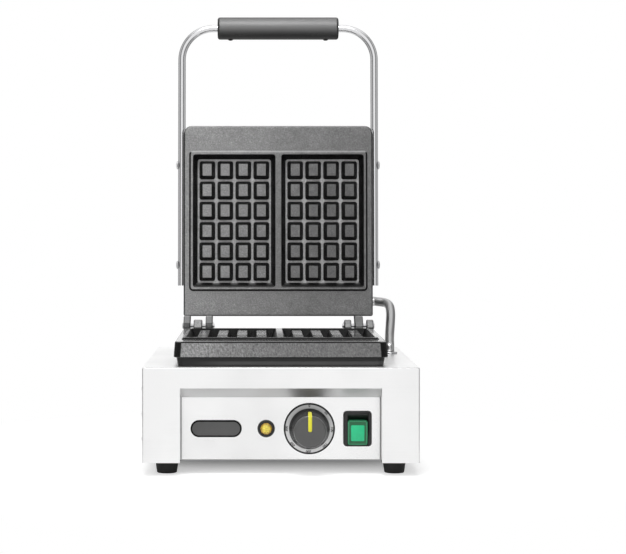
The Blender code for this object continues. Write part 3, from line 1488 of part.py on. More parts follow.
def build():
    """Make every piece and hang it on the base, the lid, the knob or the rocker."""
    clear_scene()
    steel = finish("brushed_stainless", (0.80, 0.80, 0.79), 0.32, 1.0)
    panel_steel = finish("satin_stainless", (0.84, 0.84, 0.83), 0.38, 1.0)
    iron = finish("seasoned_cast_iron", (0.060, 0.060, 0.062), 0.45, 0.6)
    tray_black = finish("black_enamel", (0.030, 0.030, 0.032), 0.40, 0.2)
    chrome = finish("polished_chrome", (0.86, 0.86, 0.87), 0.12, 1.0)
    zinc = finish("zinc_plated_steel", (0.62, 0.62, 0.63), 0.35, 1.0)
    black = finish("black_plastic", (0.022, 0.022, 0.024), 0.38, 0.0)
    knob_black = finish("knob_plastic", (0.070, 0.070, 0.072), 0.45, 0.0)
    rubber = finish("foot_rubber", (0.018, 0.018, 0.018), 0.70, 0.0)
    yellow = finish("pointer_yellow", (0.82, 0.78, 0.06), 0.45, 0.0)
    silver = finish("dial_silver", (0.62, 0.62, 0.62), 0.40, 0.6)
    amber = finish("amber_lens", (0.75, 0.42, 0.06), 0.18, 0.0)
    green = finish("green_lens", (0.03, 0.55, 0.29), 0.25, 0.0)
    badge_grey = finish("badge_grey", (0.105, 0.105, 0.107), 0.45, 0.0)
    flex = finish("conduit_grey", (0.46, 0.46, 0.46), 0.35, 0.9)
    element = finish("element_sheath", (0.16, 0.13, 0.11), 0.50, 0.9)
    copper = finish("copper", (0.72, 0.38, 0.24), 0.35, 1.0)
    fibre = finish("ceramic_fibre", (0.80, 0.78, 0.72), 0.95, 0.0)
    white = finish("terminal_ceramic", (0.80, 0.79, 0.76), 0.55, 0.0)

    base = empty("base", None, (0, FRONT_PLACE, 0))
    hinge = empty("hinge", base, (0, HINGE_PLACE, HINGE_HEIGHT))
    lid = empty("lid", hinge, (0, 0, 0), -math.radians(LID_OPEN_ANGLE))
    knob_axis = empty("knob_axis", base, (KNOB_PLACE, 0, CONTROL_ROW))

    make_casing(base, steel)
    make_panel(base, panel_steel)
    make_bottom(base, panel_steel)
    make_feet(base, rubber, zinc)
    lower = make_plate("lower_plate", hinge, iron, heel=False)
    lower.rotation_euler = (0, math.pi, 0)
    heater = make_element("lower_heating_element", hinge, LOWER_TAIL_DROP, element)
    heater.rotation_euler = (0, math.pi, 0)
    make_hinge_pins(hinge, zinc)
    make_tray(base, tray_black)
    make_bulb(base, copper)
    make_plate_screws(base, zinc)
    make_thermostat(base, black, silver)
    make_lamp(base, black, amber, black)
    make_badge(base, badge_grey)
    make_switch(base, black, green)
    make_inlet(base, black, white)
    make_knob(knob_axis, knob_black, yellow, zinc)

    make_plate("upper_plate", lid, iron, heel=True)
    make_hood(lid, steel)
    make_element("upper_heating_element", lid, UPPER_TAIL_RISE, element)
    make_upper_inside(lid, zinc, fibre)
    make_hood_screws(lid, zinc)
    make_handle(lid, chrome, black, zinc)
    make_conduit(base, lid, flex, zinc)


build()
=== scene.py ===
"""Looks of a countertop Liege waffle maker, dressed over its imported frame.

All lengths are in metres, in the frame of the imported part: +Z is up, -Y is towards the
user, and Z = 0 is the table.
"""

import json
import logging
import math
from collections.abc import Callable, Sequence
from dataclasses import dataclass
from enum import Enum
from itertools import product
from typing import Any, ClassVar

import bmesh
import bpy
from mathutils import Matrix, Vector

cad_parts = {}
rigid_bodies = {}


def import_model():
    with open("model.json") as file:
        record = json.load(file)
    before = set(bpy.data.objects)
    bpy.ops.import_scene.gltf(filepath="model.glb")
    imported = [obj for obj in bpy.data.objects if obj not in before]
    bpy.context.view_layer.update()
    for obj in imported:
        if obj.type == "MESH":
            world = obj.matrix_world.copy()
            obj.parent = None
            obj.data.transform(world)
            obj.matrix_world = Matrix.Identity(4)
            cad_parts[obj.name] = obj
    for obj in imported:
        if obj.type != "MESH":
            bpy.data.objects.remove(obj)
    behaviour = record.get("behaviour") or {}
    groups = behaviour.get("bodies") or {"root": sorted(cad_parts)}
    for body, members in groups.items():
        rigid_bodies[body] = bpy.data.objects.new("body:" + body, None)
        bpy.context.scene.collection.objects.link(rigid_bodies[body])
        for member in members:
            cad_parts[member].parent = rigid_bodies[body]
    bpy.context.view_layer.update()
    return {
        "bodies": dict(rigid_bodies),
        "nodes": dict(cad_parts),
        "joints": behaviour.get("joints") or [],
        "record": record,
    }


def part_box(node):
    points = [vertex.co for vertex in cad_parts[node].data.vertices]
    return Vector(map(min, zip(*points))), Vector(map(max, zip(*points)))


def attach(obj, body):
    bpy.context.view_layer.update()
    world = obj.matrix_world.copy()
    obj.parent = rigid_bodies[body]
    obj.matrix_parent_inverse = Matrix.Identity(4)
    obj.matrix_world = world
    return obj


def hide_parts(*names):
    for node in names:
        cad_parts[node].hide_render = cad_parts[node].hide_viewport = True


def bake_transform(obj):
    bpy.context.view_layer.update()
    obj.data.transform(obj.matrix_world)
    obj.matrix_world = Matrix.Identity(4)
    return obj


LOG = logging.getLogger("waffle_maker")

Colour = tuple[float, float, float]
Triple = tuple[float, float, float]
Flat = tuple[float, float]

LEAN = math.radians(2.0)
HINGE: Triple = (0.0, 0.0930385, 0.150)
PLATE_NEAR = 0.012
PLATE_FAR = 0.250
FIRST_COLUMN = 0.02125
STUD_PITCH: Flat = (0.0226, 0.0255)
RIGHT: Triple = (1.0, 0.0, 0.0)
FRONT: Triple = (0.0, -1.0, 0.0)
UP: Triple = (0.0, 0.0, 1.0)
WHITE: Colour = (1.0, 1.0, 1.0)


class Body(Enum):
    """The bodies of the frame that a piece can ride on."""

    BASE = "base"
    LID = "lid"
    KNOB = "knob"
    ROCKER = "rocker"


class Zone(Enum):
    """How a finish measures the distance from a part's middle."""

    ROUND = "round"
    BOX = "box"


class Side(Enum):
    """A side of a CAD node's box: its axis, and 0 for its low end or 1 for its high end."""

    LEFT = (0, 0)
    FRONT = (1, 0)
    BACK = (1, 1)
    BOTTOM = (2, 0)


def tone(red: float, green: float, blue: float) -> Colour:
    """Turn a display colour into the linear one that shaders use.

    Args:
        red: Red level, 0 to 255.
        green: Green level, 0 to 255.
        blue: Blue level, 0 to 255.

    Returns:
        The linear colour, 0 to 1.
    """
    levels = [
        share / 12.92 if share <= 0.04045 else ((share + 0.055) / 1.055) ** 2.4
        for share in (red / 255, green / 255, blue / 255)
    ]
    return (levels[0], levels[1], levels[2])


def grey(level: float) -> Colour:
    """Return the linear colour of a display grey, 0 to 255."""
    return tone(level, level, level)


# Shader graph


class Wire:
    """An output socket that adds maths nodes when it is used in an expression."""

    def __init__(self, graph: "Graph", socket: bpy.types.NodeSocket) -> None:
        """Keep the graph and the socket."""
        self.graph = graph
        self.socket = socket

    @property
    def is_vector(self) -> bool:
        """Tell whether the socket carries a vector or a colour."""
        return self.socket.type in ("VECTOR", "RGBA")

    def maths(self, operation: str, *values: "Wire | float") -> "Wire":
        """Add one maths node, on vectors if any value is one.

        Args:
            operation: The node's operation.
            values: The operands, in the order of the node's sockets.

        Returns:
            The wire of the node's result.
        """
        vectors = any(isinstance(value, Wire) and value.is_vector for value in values)
        kind = "ShaderNodeVectorMath" if vectors else "ShaderNodeMath"
        return self.graph.add(kind, {"operation": operation}, dict(enumerate(values)))

    def __add__(self, other: "Wire | float") -> "Wire":
        """Return self + other."""
        return self.maths("ADD", self, other)

    def __radd__(self, other: float) -> "Wire":
        """Return other + self."""
        return self.maths("ADD", other, self)

    def __sub__(self, other: "Wire | float") -> "Wire":
        """Return self - other."""
        return self.maths("SUBTRACT", self, other)

    def __rsub__(self, other: float) -> "Wire":
        """Return other - self."""
        return self.maths("SUBTRACT", other, self)

    def __mul__(self, other: "Wire | float") -> "Wire":
        """Return self times other."""
        return self.maths("MULTIPLY", self, other)

    def __rmul__(self, other: float) -> "Wire":
        """Return other times self."""
        return self.maths("MULTIPLY", other, self)

    def __truediv__(self, other: "Wire | float") -> "Wire":
        """Return self over other."""
        return self.maths("DIVIDE", self, other)

    def __pow__(self, power: float) -> "Wire":
        """Return self to a power."""
        return self.maths("POWER", self, power)

    def __abs__(self) -> "Wire":
        """Return self without its sign."""
        return self.maths("ABSOLUTE", self)

    def most(self, other: "Wire | float") -> "Wire":
        """Return the larger of self and other."""
        return self.maths("MAXIMUM", self, other)

    def step(self, low: float, high: float) -> "Wire":
        """Rise smoothly from 0 to 1 between two levels, or fall where low is above high.

        Args:
            low: The level that gives 0.
            high: The level that gives 1.

        Returns:
            The wire of the share, 0 to 1.
        """
        ends = (low, high, 0.0, 1.0) if low < high else (high, low, 1.0, 0.0)
        settings = {"interpolation_type": "SMOOTHSTEP", "clamp": True}
        return self.graph.add("ShaderNodeMapRange", settings, dict(enumerate((self, *ends))))


class Graph:
    """The node tree of a material or of the world."""

    def __init__(self, tree: bpy.types.NodeTree) -> None:
        """Keep the tree, and its Principled node where it has one."""
        self.tree = tree
        self.shader = tree.nodes.get("Principled BSDF")

    def add(
        self,
        kind: str,
        settings: dict[str, Any] | None = None,
        inputs: dict[int | str, Any] | None = None,
        output: int = 0,
    ) -> Wire:
        """Add a node: its settings first, then the values or links of its sockets.

        Args:
            kind: The node's type.
            settings: The node's own settings.
            inputs: Values or wires by the input's index or name.
            output: Which output to return.

        Returns:
            The wire of that output, or of the first input of a node with no output.
        """
        node = self.tree.nodes.new(kind)
        for name, value in (settings or {}).items():
            setattr(node, name, value)
        for key, value in (inputs or {}).items():
            self.feed(node.inputs[key], value)
        return Wire(self, node.outputs[output] if node.outputs else node.inputs[0])

    def feed(self, socket: bpy.types.NodeSocket, value: Any) -> None:
        """Link a wire to a socket, or set the socket's own value.

        Args:
            socket: The input socket.
            value: A wire, a number, a vector or a colour.
        """
        if isinstance(value, Wire):
            self.tree.links.new(value.socket, socket)
        elif socket.type == "RGBA":
            socket.default_value = (*value, 1.0)
        elif socket.type == "VECTOR" and isinstance(value, (int, float)):
            socket.default_value = (value, value, value)
        else:
            socket.default_value = value

    def set(self, socket: str, value: Any) -> None:
        """Feed a socket of the Principled node."""
        self.feed(self.shader.inputs[socket], value)

    def place(self) -> Wire:
        """Return the point on the piece, in metres, which moves with it."""
        return self.add("ShaderNodeTexCoord", output=3)

    def normal(self) -> Wire:
        """Return the surface's own direction, which moves with the piece."""
        return self.add("ShaderNodeTexCoord", output=1)

    def turned(self) -> tuple[Wire, Wire, Wire]:
        """Return the x, y and z of the surface's own direction."""
        return self.axes(self.normal())

    def axes(self, vector: Wire) -> tuple[Wire, Wire, Wire]:
        """Return the x, y and z of a vector."""
        outputs = self.add("ShaderNodeSeparateXYZ", None, {0: vector}).socket.node.outputs
        return Wire(self, outputs[0]), Wire(self, outputs[1]), Wire(self, outputs[2])

    def joined(self, x: Wire | float, y: Wire | float, z: Wire | float) -> Wire:
        """Return the vector of three values."""
        return self.add("ShaderNodeCombineXYZ", None, {0: x, 1: y, 2: z})

    def facing(self, way: Triple) -> Wire:
        """Return how squarely the surface faces a direction, 0 to 1 either way."""
        inputs = {0: self.normal(), 1: way}
        return abs(self.add("ShaderNodeVectorMath", {"operation": "DOT_PRODUCT"}, inputs, 1))

    def noise(self, vector: Wire, scale: float, detail: float, rough: float = 0.5) -> Wire:
        """Return smooth noise.

        Args:
            vector: Where on the piece.
            scale: Waves per metre of the vector.
            detail: How many finer layers.
            rough: How strong the finer layers are.

        Returns:
            The wire of the noise, 0 to 1 around a half.
        """
        inputs = {"Vector": vector, "Scale": scale, "Detail": detail, "Roughness": rough}
        return self.add("ShaderNodeTexNoise", None, inputs)

    def mix(self, share: Wire, low: Wire | Colour, high: Wire | Colour) -> Wire:
        """Return a colour or vector between two: low at share 0, high at share 1."""
        return self.add("ShaderNodeMix", {"data_type": "RGBA"}, {0: share, 6: low, 7: high}, 2)

    def wave(self, turns: Wire) -> Wire:
        """Return a cosine that is 1 at whole turns and -1 at half ones."""
        return self.add("ShaderNodeMath", {"operation": "COSINE"}, {0: turns * math.tau})

    def bump(self, height: Wire, depth: float, strength: float) -> Wire:
        """Return the normal of a surface with that relief.

        Args:
            height: The relief, 0 to 1.
            depth: What 1 stands for, in metres.
            strength: How much of it shows.

        Returns:
            The wire of the normal.
        """
        inputs = {"Strength": strength, "Distance": depth, "Height": height}
        return self.add("ShaderNodeBump", None, inputs)


# Finishes


@dataclass(frozen=True)
class Finish:
    """What every finish has: a name, the record's slot, a colour and how it shines."""

    name: str
    slot: str
    colour: Colour
    roughness: float
    metallic: float = 0.0
    coat: float = 0.0
    coat_roughness: float = 0.1
    specular: float = 0.5
    made: ClassVar[dict[str, bpy.types.Material]] = {}

    def material(self) -> bpy.types.Material:
        """Return the finish's material, made once.

        Returns:
            The material.
        """
        if self.name not in self.made:
            material = bpy.data.materials.new(self.name)
            material.use_nodes = True
            graph = Graph(material.node_tree)
            for socket, value in (
                ("Base Color", self.colour), ("Roughness", self.roughness),
                ("Metallic", self.metallic), ("Coat Weight", self.coat),
                ("Coat Roughness", self.coat_roughness), ("Specular IOR Level", self.specular),
            ):
                graph.set(socket, value)
            self.paint(graph)
            self.made[self.name] = material
        return self.made[self.name]

    def paint(self, graph: Graph) -> None:
        """Add what varies over the surface."""
        raise NotImplementedError(self.name)

    def tint(self, graph: Graph, shade: Wire) -> None:
        """Let the colour follow a shade, which is 1 where the colour is as written."""
        graph.set("Base Color", graph.joined(*self.colour) * shade)

    def mottle(self, graph: Graph, cloud: Wire) -> None:
        """Let the roughness follow soft clouds."""
        graph.set("Roughness", self.roughness * (0.85 + 0.3 * cloud))


@dataclass(frozen=True)
class Brushed(Finish):
    """Stainless sheet with fine grain lines, faint clouds and handling marks.

    Lines and stretch are waves per metre across and along the grain. Fold shade, underside shade
    and seam shade say how much painted shade darkens the top front fold, faces that look down and
    the jambs beside the recess, and the panel's seam line.
    """

    lines: float = 900.0
    stretch: float = 6.0
    contrast: float = 0.05
    relief: float = 0.00001
    clouds: float = 0.04
    fold_shade: float = 0.0
    underside_shade: float = 0.0
    seam_shade: float = 0.0
    jamb_edge: Flat = (0.1130, 0.1115)
    seam_edge: Flat = (0.1093, 0.1103)

    def paint(self, graph: Graph) -> None:
        """Draw the grain along the sheet, and along Y on its sides.

        Args:
            graph: The material's graph.
        """
        place = graph.place()
        x, y, z = graph.axes(place)
        front = graph.joined(x * self.stretch, y * self.lines, z * self.lines)
        side = graph.joined(x * self.stretch, y * self.stretch, z * self.lines)
        grain_place = graph.mix(graph.facing(RIGHT).step(0.5, 0.8), front, side)
        grain = graph.noise(grain_place, 1.0, 3, 0.6)
        cloud = graph.noise(place, 9, 2)
        turned_x, turned_y, turned_z = graph.turned()
        # Painted shade: the top front fold is dimmed where it would mirror the lamp too brightly,
        # and faces that look down, the recess jambs and the seam line are darkened.
        fold_shade = (turned_z - turned_y).step(1.08, 1.30)
        under_shade = turned_z.step(-0.5, -0.8)
        jamb_shade = abs(turned_x).step(0.6, 0.9) * abs(x).step(*self.jamb_edge)
        shade = (cloud - 0.5) * self.clouds + (grain - 0.5) * self.contrast + 1.0
        shade = shade * (1.0 - fold_shade * self.fold_shade - (under_shade + jamb_shade) * self.underside_shade)
        if self.seam_shade:
            shade = shade * (1.0 - abs(x).step(*self.seam_edge) * self.seam_shade)
        self.tint(graph, shade)
        spread = self.roughness * (0.85 + 4.0 * self.contrast * grain + 0.15 * cloud)
        graph.set("Roughness", spread + under_shade * 0.17)
        graph.set("Normal", graph.bump(grain, self.relief, 0.5))


@dataclass(frozen=True)
class CastIron(Finish):
    """Seasoned cast iron, pale on its lands, with its steep walls painted near black as shade.

    Face and along are the directions out of the plate and away from the hinge. The places
    are measured from the hinge along them, and those across from the middle of the plate.
    """

    wall_shade: Colour = (0.01, 0.01, 0.01)
    face: Triple = UP
    along: Triple = FRONT
    front: float = -1.0
    front_blur: float = 0.001
    side_shade: float = 0.5
    side_shade_across: Flat = (-0.11, 0.09)
    front_darker_across: Flat = (-0.105, -0.03)
    middle: float = (PLATE_NEAR + PLATE_FAR) / 2
    cavity: Flat = (0.1077, 0.0840)
    blur: float = 0.0005
    cavity_floor: Flat = (-0.0105, -0.0121)
    lug_reach: Flat = (0.0122, 0.0108)
    lug_shade: float = 0.0
    lit_ledge: float = 0.0
    sill: Flat = (0.0758, 0.0770)
    sill_top: Flat = (-0.0050, -0.0015)
    sill_foot: Flat = (-0.0040, -0.0110)
    skin: float = 0.0013

    def cavities(self, x: Wire, near: Wire) -> Wire:
        """Return where the plate's two cavities are.

        Args:
            x: How far across the plate.
            near: How far from the hinge.

        Returns:
            The wire of the share, 1 in the cavities.
        """
        wide, long = self.cavity
        along = abs(near - self.middle).step(long + self.blur, long - self.blur)
        return along * abs(x).step(wide + self.blur, wide - self.blur)

    def sill_light(self, graph: Graph, x: Wire, near: Wire, height: Wire) -> Wire:
        """Return the painted light on the cavities' end walls: at the rim, and deep between studs.

        Args:
            graph: The material's graph.
            x: How far across the plate.
            near: How far from the hinge.
            height: How far out of the plate, below 0 in the cavities.

        Returns:
            The wire of the share.
        """
        ends = abs(near - self.middle).step(*self.sill)
        gap = graph.wave((abs(x) - FIRST_COLUMN) / STUD_PITCH[0]).step(0.1, -0.8)
        rim, foot = height.step(*self.sill_top), height.step(*self.sill_foot)
        return ends * (rim * 0.24 + foot * gap * 0.5)

    def paint(self, graph: Graph) -> None:
        """Part the lands from the walls, and add the skin of the casting.

        Args:
            graph: The material's graph.
        """
        place = graph.place()
        x, y, z = graph.axes(place)
        off_y, off_z = y - HINGE[1], z - HINGE[2]
        near = off_y * self.along[1] + off_z * self.along[2]
        height = off_y * self.face[1] + off_z * self.face[2]
        fine = graph.noise(place, 640, 4, 0.7)
        patch = graph.noise(place, 120, 4, 0.6)
        cloud = graph.noise(place, 28, 2)
        coarse = graph.noise(graph.joined(x * 1.6, y, z + x * 0.7), 300, 3, 0.65)
        outside = graph.facing(FRONT).step(0.975, 0.998)
        outside = outside * y.step(self.front + self.front_blur, self.front)
        lugs = ((off_y * off_y + off_z * off_z) ** 0.5).step(*self.lug_reach)
        lugs = lugs * graph.facing(RIGHT).step(0.8, 0.4)
        pocket = self.cavities(x, near)
        # Painted light: the cavity floors are painted paler.
        lit_floor = height.step(*self.cavity_floor) * pocket
        land = graph.facing(self.face).step(0.74, 0.97).most(outside).most(lugs)
        # Painted shade: the plate darkens from left to right as if the light fell off, less on the
        # rim than in the cavities and not on the cavity floors.
        side_shade = x.step(*self.side_shade_across) * (1.0 - lit_floor) * (0.66 + 0.34 * pocket)
        wear_and_painted_light = 0.72 + patch * 0.40 + cloud * 0.20 - side_shade * self.side_shade + lit_floor * 0.62
        speck = (fine - 0.5) * 1.5 + fine.step(0.56, 0.68) * 0.2
        wear_and_painted_light = wear_and_painted_light * (1.0 + speck + outside * (coarse - 0.5) * (2.6 - side_shade * 1.6))
        wear_and_painted_light = wear_and_painted_light * (1.0 - lugs * self.lug_shade)
        # The front face is darker everywhere but at its left end.
        wear_and_painted_light = wear_and_painted_light * (1.0 - outside * x.step(*self.front_darker_across) * 0.27)
        # Painted light: surfaces outside the cavities that face up are brightened as lit land, and
        # the cavities' end walls get painted light at the rim and between the studs.
        if self.lit_ledge:
            _, _, turned_z = graph.turned()
            upward = turned_z.step(0.45, 0.62)
            ledge_highlight = upward * (1.0 - pocket)
            land, wear_and_painted_light = land.most(ledge_highlight), wear_and_painted_light + ledge_highlight * self.lit_ledge
            land = land.most(upward * pocket * self.sill_light(graph, x, near, height))
        # The steep walls take the wall shade colour, which is painted shade; the lands keep the
        # iron's colour.
        graph.set("Base Color", graph.mix(land, self.wall_shade, self.colour) * wear_and_painted_light)
        rough = self.roughness * (0.75 + 0.35 * patch + 0.15 * fine)
        graph.set("Roughness", rough + (1.0 - land) * 0.06)
        graph.set("Coat Weight", land * self.coat)
        relief = fine * (1.4 - side_shade * 0.7) + patch * 0.4
        graph.set("Normal", graph.bump(relief, self.skin, 0.7))


@dataclass(frozen=True)
class Moulded(Finish):
    """Moulded plastic, rubber or enamel with a fine skin."""

    texture: float = 2500.0
    relief: float = 0.00003

    def painted_light(self, graph: Graph, place: Wire, shade: Wire) -> Wire:
        """Return the shade with a finish's painted light and shade, of which the plain one has
        none.
        """
        return shade

    def paint(self, graph: Graph) -> None:
        """Add the skin, and colour and gloss that vary a little.

        Args:
            graph: The material's graph.
        """
        place = graph.place()
        skin = graph.noise(place, self.texture, 2)
        cloud = graph.noise(place, 60, 3)
        self.tint(graph, self.painted_light(graph, place, 0.88 + 0.24 * cloud))
        self.mottle(graph, cloud)
        graph.set("Normal", graph.bump(skin, self.relief, 0.5))


@dataclass(frozen=True)
class GripPlastic(Moulded):
    """The grip's satin plastic, with painted shade below, along its top and at its ends."""

    # Shares of painted shade: below, along the top and at the ends.
    shade_below: float = 0.97
    top: float = 0.75
    ends: float = 0.9
    end_rim: Flat = (0.0732, 0.0748)

    def painted_light(self, graph: Graph, place: Wire, shade: Wire) -> Wire:
        """Paint shade, and dull the coat there.

        Args:
            graph: The material's graph.
            place: The point on the grip.
            shade: The plain shade.

        Returns:
            The darker shade.
        """
        x, _, _ = graph.axes(place)
        _, _, turned_z = graph.turned()
        # Painted shade: darker where the surface turns down, along its very top and at its ends.
        painted_shade = (turned_z.step(0.15, -0.80) * self.shade_below).most(turned_z.step(0.72, 0.97) * self.top)
        painted_shade = painted_shade.most(abs(x).step(*self.end_rim) * self.ends)
        graph.set("Coat Weight", (1.0 - painted_shade) * self.coat)
        return shade * (1.0 - painted_shade)


@dataclass(frozen=True)
class TrayEnamel(Moulded):
    """The tray's black enamel, with a painted reflection: a paler line along its front that fades
    to the left.
    """

    glint: float = 6.0
    reflection_top: Flat = (0.1262, 0.1244)
    reflection_foot: Flat = (0.1206, 0.1222)
    reflection_start: Flat = (-0.105, -0.05)

    def painted_light(self, graph: Graph, place: Wire, shade: Wire) -> Wire:
        """Paint the reflection line.

        Args:
            graph: The material's graph.
            place: The point on the tray.
            shade: The plain shade.

        Returns:
            The shade with the painted reflection line.
        """
        x, _, z = graph.axes(place)
        # Painted reflection: a paler band along the front.
        line = z.step(*self.reflection_top) * z.step(*self.reflection_foot) * x.step(*self.reflection_start)
        return shade * (1.0 + line * self.glint)


@dataclass(frozen=True)
class Plated(Finish):
    """Chrome or zinc plating with faint clouds and wiping marks."""

    cloudy: float = 0.06

    def paint(self, graph: Graph) -> None:
        """Cloud the plating.

        Args:
            graph: The material's graph.
        """
        place = graph.place()
        cloud = graph.noise(place, 45, 4, 0.6)
        wipe = graph.noise(place, 700, 2)
        self.tint(graph, 1.0 + (cloud - 0.5) * self.cloudy)
        graph.set("Roughness", self.roughness * (0.7 + 0.4 * cloud + 0.2 * wipe))


@dataclass(frozen=True)
class Zoned(Finish):
    """A finish that changes with the distance from a part's own axis along Y."""

    zone: Zone = Zone.ROUND
    middle: Flat = (0.0, 0.0)
    half: Flat = (0.0, 0.0)
    outer: Colour = (0.0, 0.0, 0.0)
    fade: Flat = (0.0, 1.0)
    glow: float = 0.0
    turned_lines: float = 0.0
    sparkle: float = 0.0

    def paint(self, graph: Graph) -> None:
        """Mix the two colours by the distance from the axis, or from a box around it.

        Args:
            graph: The material's graph.
        """
        place = graph.place()
        x, _, z = graph.axes(place)
        off_x, off_z = x - self.middle[0], z - self.middle[1]
        if self.zone is Zone.ROUND:
            reach = (off_x * off_x + off_z * off_z) ** 0.5
        else:
            reach = (abs(off_x) - self.half[0]).most(abs(off_z) - self.half[1])
        colour = graph.mix(reach.step(*self.fade), self.colour, self.outer)
        if self.turned_lines:
            rings = graph.noise(graph.joined(reach * self.turned_lines, 0.0, 0.0), 1.0, 2)
            # Painted shade: the turned ring is darker towards its top.
            painted_top_shade = (off_z / reach).step(-0.5, 0.9) * 0.36
            colour = colour * (0.86 + 0.28 * rings) * (1.0 - painted_top_shade)
            graph.set("Normal", graph.bump(rings, 0.00002, 0.4))
        if self.sparkle:
            facet = graph.noise(place, 900, 1)
            colour = colour * (1.0 - self.sparkle * facet.step(0.52, 0.40))
        cloud = graph.noise(place, 260, 3)
        colour = colour * (0.9 + 0.2 * cloud)
        graph.set("Base Color", colour)
        self.mottle(graph, cloud)
        if self.glow:
            graph.set("Emission Color", colour)
            graph.set("Emission Strength", self.glow)


@dataclass(frozen=True)
class LitPlastic(Finish):
    """Translucent coloured plastic that glows a little from within."""

    glow: float = 0.3

    def paint(self, graph: Graph) -> None:
        """Let the colour and the glow vary together.

        Args:
            graph: The material's graph.
        """
        cloud = graph.noise(graph.place(), 220, 2)
        colour = graph.joined(*self.colour) * (0.9 + 0.2 * cloud)
        graph.set("Base Color", colour)
        graph.set("Emission Color", colour)
        graph.set("Emission Strength", self.glow)
        self.mottle(graph, cloud)


STEEL = Brushed(
    "brushed_sheet", "brushed_stainless", (0.97, 0.97, 0.97), 0.32, 1.0, relief=0.000006,
    clouds=0.35, fold_shade=0.34, underside_shade=0.24,
)
HOOD_STEEL = Brushed(
    "brushed_hood", "brushed_stainless", (0.80, 0.80, 0.80), 0.30, 1.0, contrast=0.12,
)
PANEL_STEEL = Brushed(
    "satin_panel", "satin_stainless", (0.97, 0.97, 0.97), 0.28, 1.0, lines=3200.0,
    contrast=0.01, relief=0.000001, clouds=0.45, seam_shade=0.55,
)
COVER_STEEL = Plated("galvanised_cover", "satin_stainless", grey(178), 0.45, 1.0, cloudy=0.3)
LOWER_IRON = CastIron(
    "iron_lower", "seasoned_cast_iron", grey(146), 0.32, 0.35, coat=1.0, coat_roughness=0.13,
    specular=0.25, wall_shade=grey(14), front=-0.1535, side_shade=0.42,
)
UPPER_IRON = CastIron(
    "iron_upper", "seasoned_cast_iron", grey(148), 0.38, 0.3, coat=0.5, coat_roughness=0.35,
    specular=0.25, wall_shade=grey(14), face=(0.0, -math.cos(LEAN), math.sin(LEAN)),
    along=(0.0, math.sin(LEAN), math.cos(LEAN)), side_shade=0.63, lug_shade=0.55, lit_ledge=0.35,
)
ENAMEL = TrayEnamel(
    "black_enamel", "black_enamel", grey(20), 0.34, specular=0.34, texture=900, relief=0.0001,
)
CHROME = Plated("chrome_rod", "polished_chrome", (0.78, 0.78, 0.79), 0.14, 1.0)
ZINC = Plated("zinc_screw", "zinc_plated_steel", (0.62, 0.62, 0.63), 0.30, 1.0, cloudy=0.25)
BLACK = Moulded("black_plastic", "black_plastic", grey(31), 0.38)
GRIP_BLACK = GripPlastic(
    "grip_plastic", "black_plastic", grey(98), 0.50, coat=1.0, coat_roughness=0.42,
    specular=0.6, texture=1800, relief=0.00001,
)
KNOB_GREY = Moulded("knob_plastic", "knob_plastic", grey(72), 0.36, coat=0.7)
# A far darker copy of the knob's plastic for its sides: painted shade.
KNOB_SIDE_SHADE = Moulded("knob_side_shaded_plastic", "knob_plastic", grey(15), 0.24, specular=0.05)
RUBBER = Moulded("foot_rubber", "foot_rubber", grey(25), 0.62, texture=1500, relief=0.00006)
YELLOW = Moulded("pointer_yellow", "pointer_yellow", tone(228, 222, 60), 0.40)
INK = Moulded("dial_ink", "black_plastic", grey(14), 0.5)
BADGE = Moulded("badge_face", "badge_grey", grey(84), 0.45, texture=3000)
# A far darker copy of the badge's grey for its rolled rim: painted shade.
BADGE_RIM_SHADE = Moulded("badge_rim_shaded", "badge_grey", grey(9), 0.45, specular=0.1)
SLEEVE = Plated("conduit_sleeve", "conduit_grey", grey(190), 0.30, 1.0, cloudy=0.12)
SHEATH = Moulded("element_sheath", "element_sheath", tone(92, 84, 78), 0.48, 0.8)
COPPER = Plated("copper_bulb", "copper", (0.72, 0.38, 0.24), 0.32, 1.0, cloudy=0.3)
FIBRE = Moulded("ceramic_fibre", "ceramic_fibre", grey(224), 0.9, texture=600, relief=0.0006)
CERAMIC = Moulded("terminal_ceramic", "terminal_ceramic", grey(222), 0.4)
THERMOSTAT = Moulded("thermostat_case", "black_plastic", grey(60), 0.4)
GREEN_WINDOW = LitPlastic("rocker_window", "green_lens", tone(40, 184, 128), 0.30, glow=0.22)


# Geometry


def arc(middle: Flat, radius: float, start: float, end: float, steps: int) -> list[Flat]:
    """Return the points of an arc.

    Args:
        middle: Its middle.
        radius: Its radius.
        start: Where it starts, in quarter turns counter-clockwise from the first axis.
        end: Where it ends.
        steps: How many edges it has.

    Returns:
        The points, both ends among them.
    """
    angles = [math.pi / 2 * (start + (end - start) * i / steps) for i in range(steps + 1)]
    return [(middle[0] + radius * math.cos(a), middle[1] + radius * math.sin(a)) for a in angles]


def circle(radius: float, steps: int, turn: float = 0.0) -> list[Flat]:
    """Return the corners of a regular polygon around the origin, turned by a share of a step."""
    angles = [math.tau * (i + turn) / steps for i in range(steps)]
    return [(radius * math.cos(angle), radius * math.sin(angle)) for angle in angles]


def smooth(knots: Sequence[Vector], steps: int) -> list[Vector]:
    """Return a smooth curve that passes through its knots.

    Args:
        knots: The knots.
        steps: How many edges it has.

    Returns:
        The points, both ends among them.
    """
    ends = [2 * knots[0] - knots[1], *knots, 2 * knots[-1] - knots[-2]]
    spans = len(knots) - 1
    points = []
    for i in range(steps + 1):
        knot = min(spans * i // steps, spans - 1)
        share = spans * i / steps - knot
        before, low, high, after = ends[knot : knot + 4]
        bend = (before * 2 - low * 5 + high * 4 - after) * share**2
        twist = (low * 3 - before - high * 3 + after) * share**3
        points.append(low + ((high - before) * share + bend + twist) / 2)
    return points


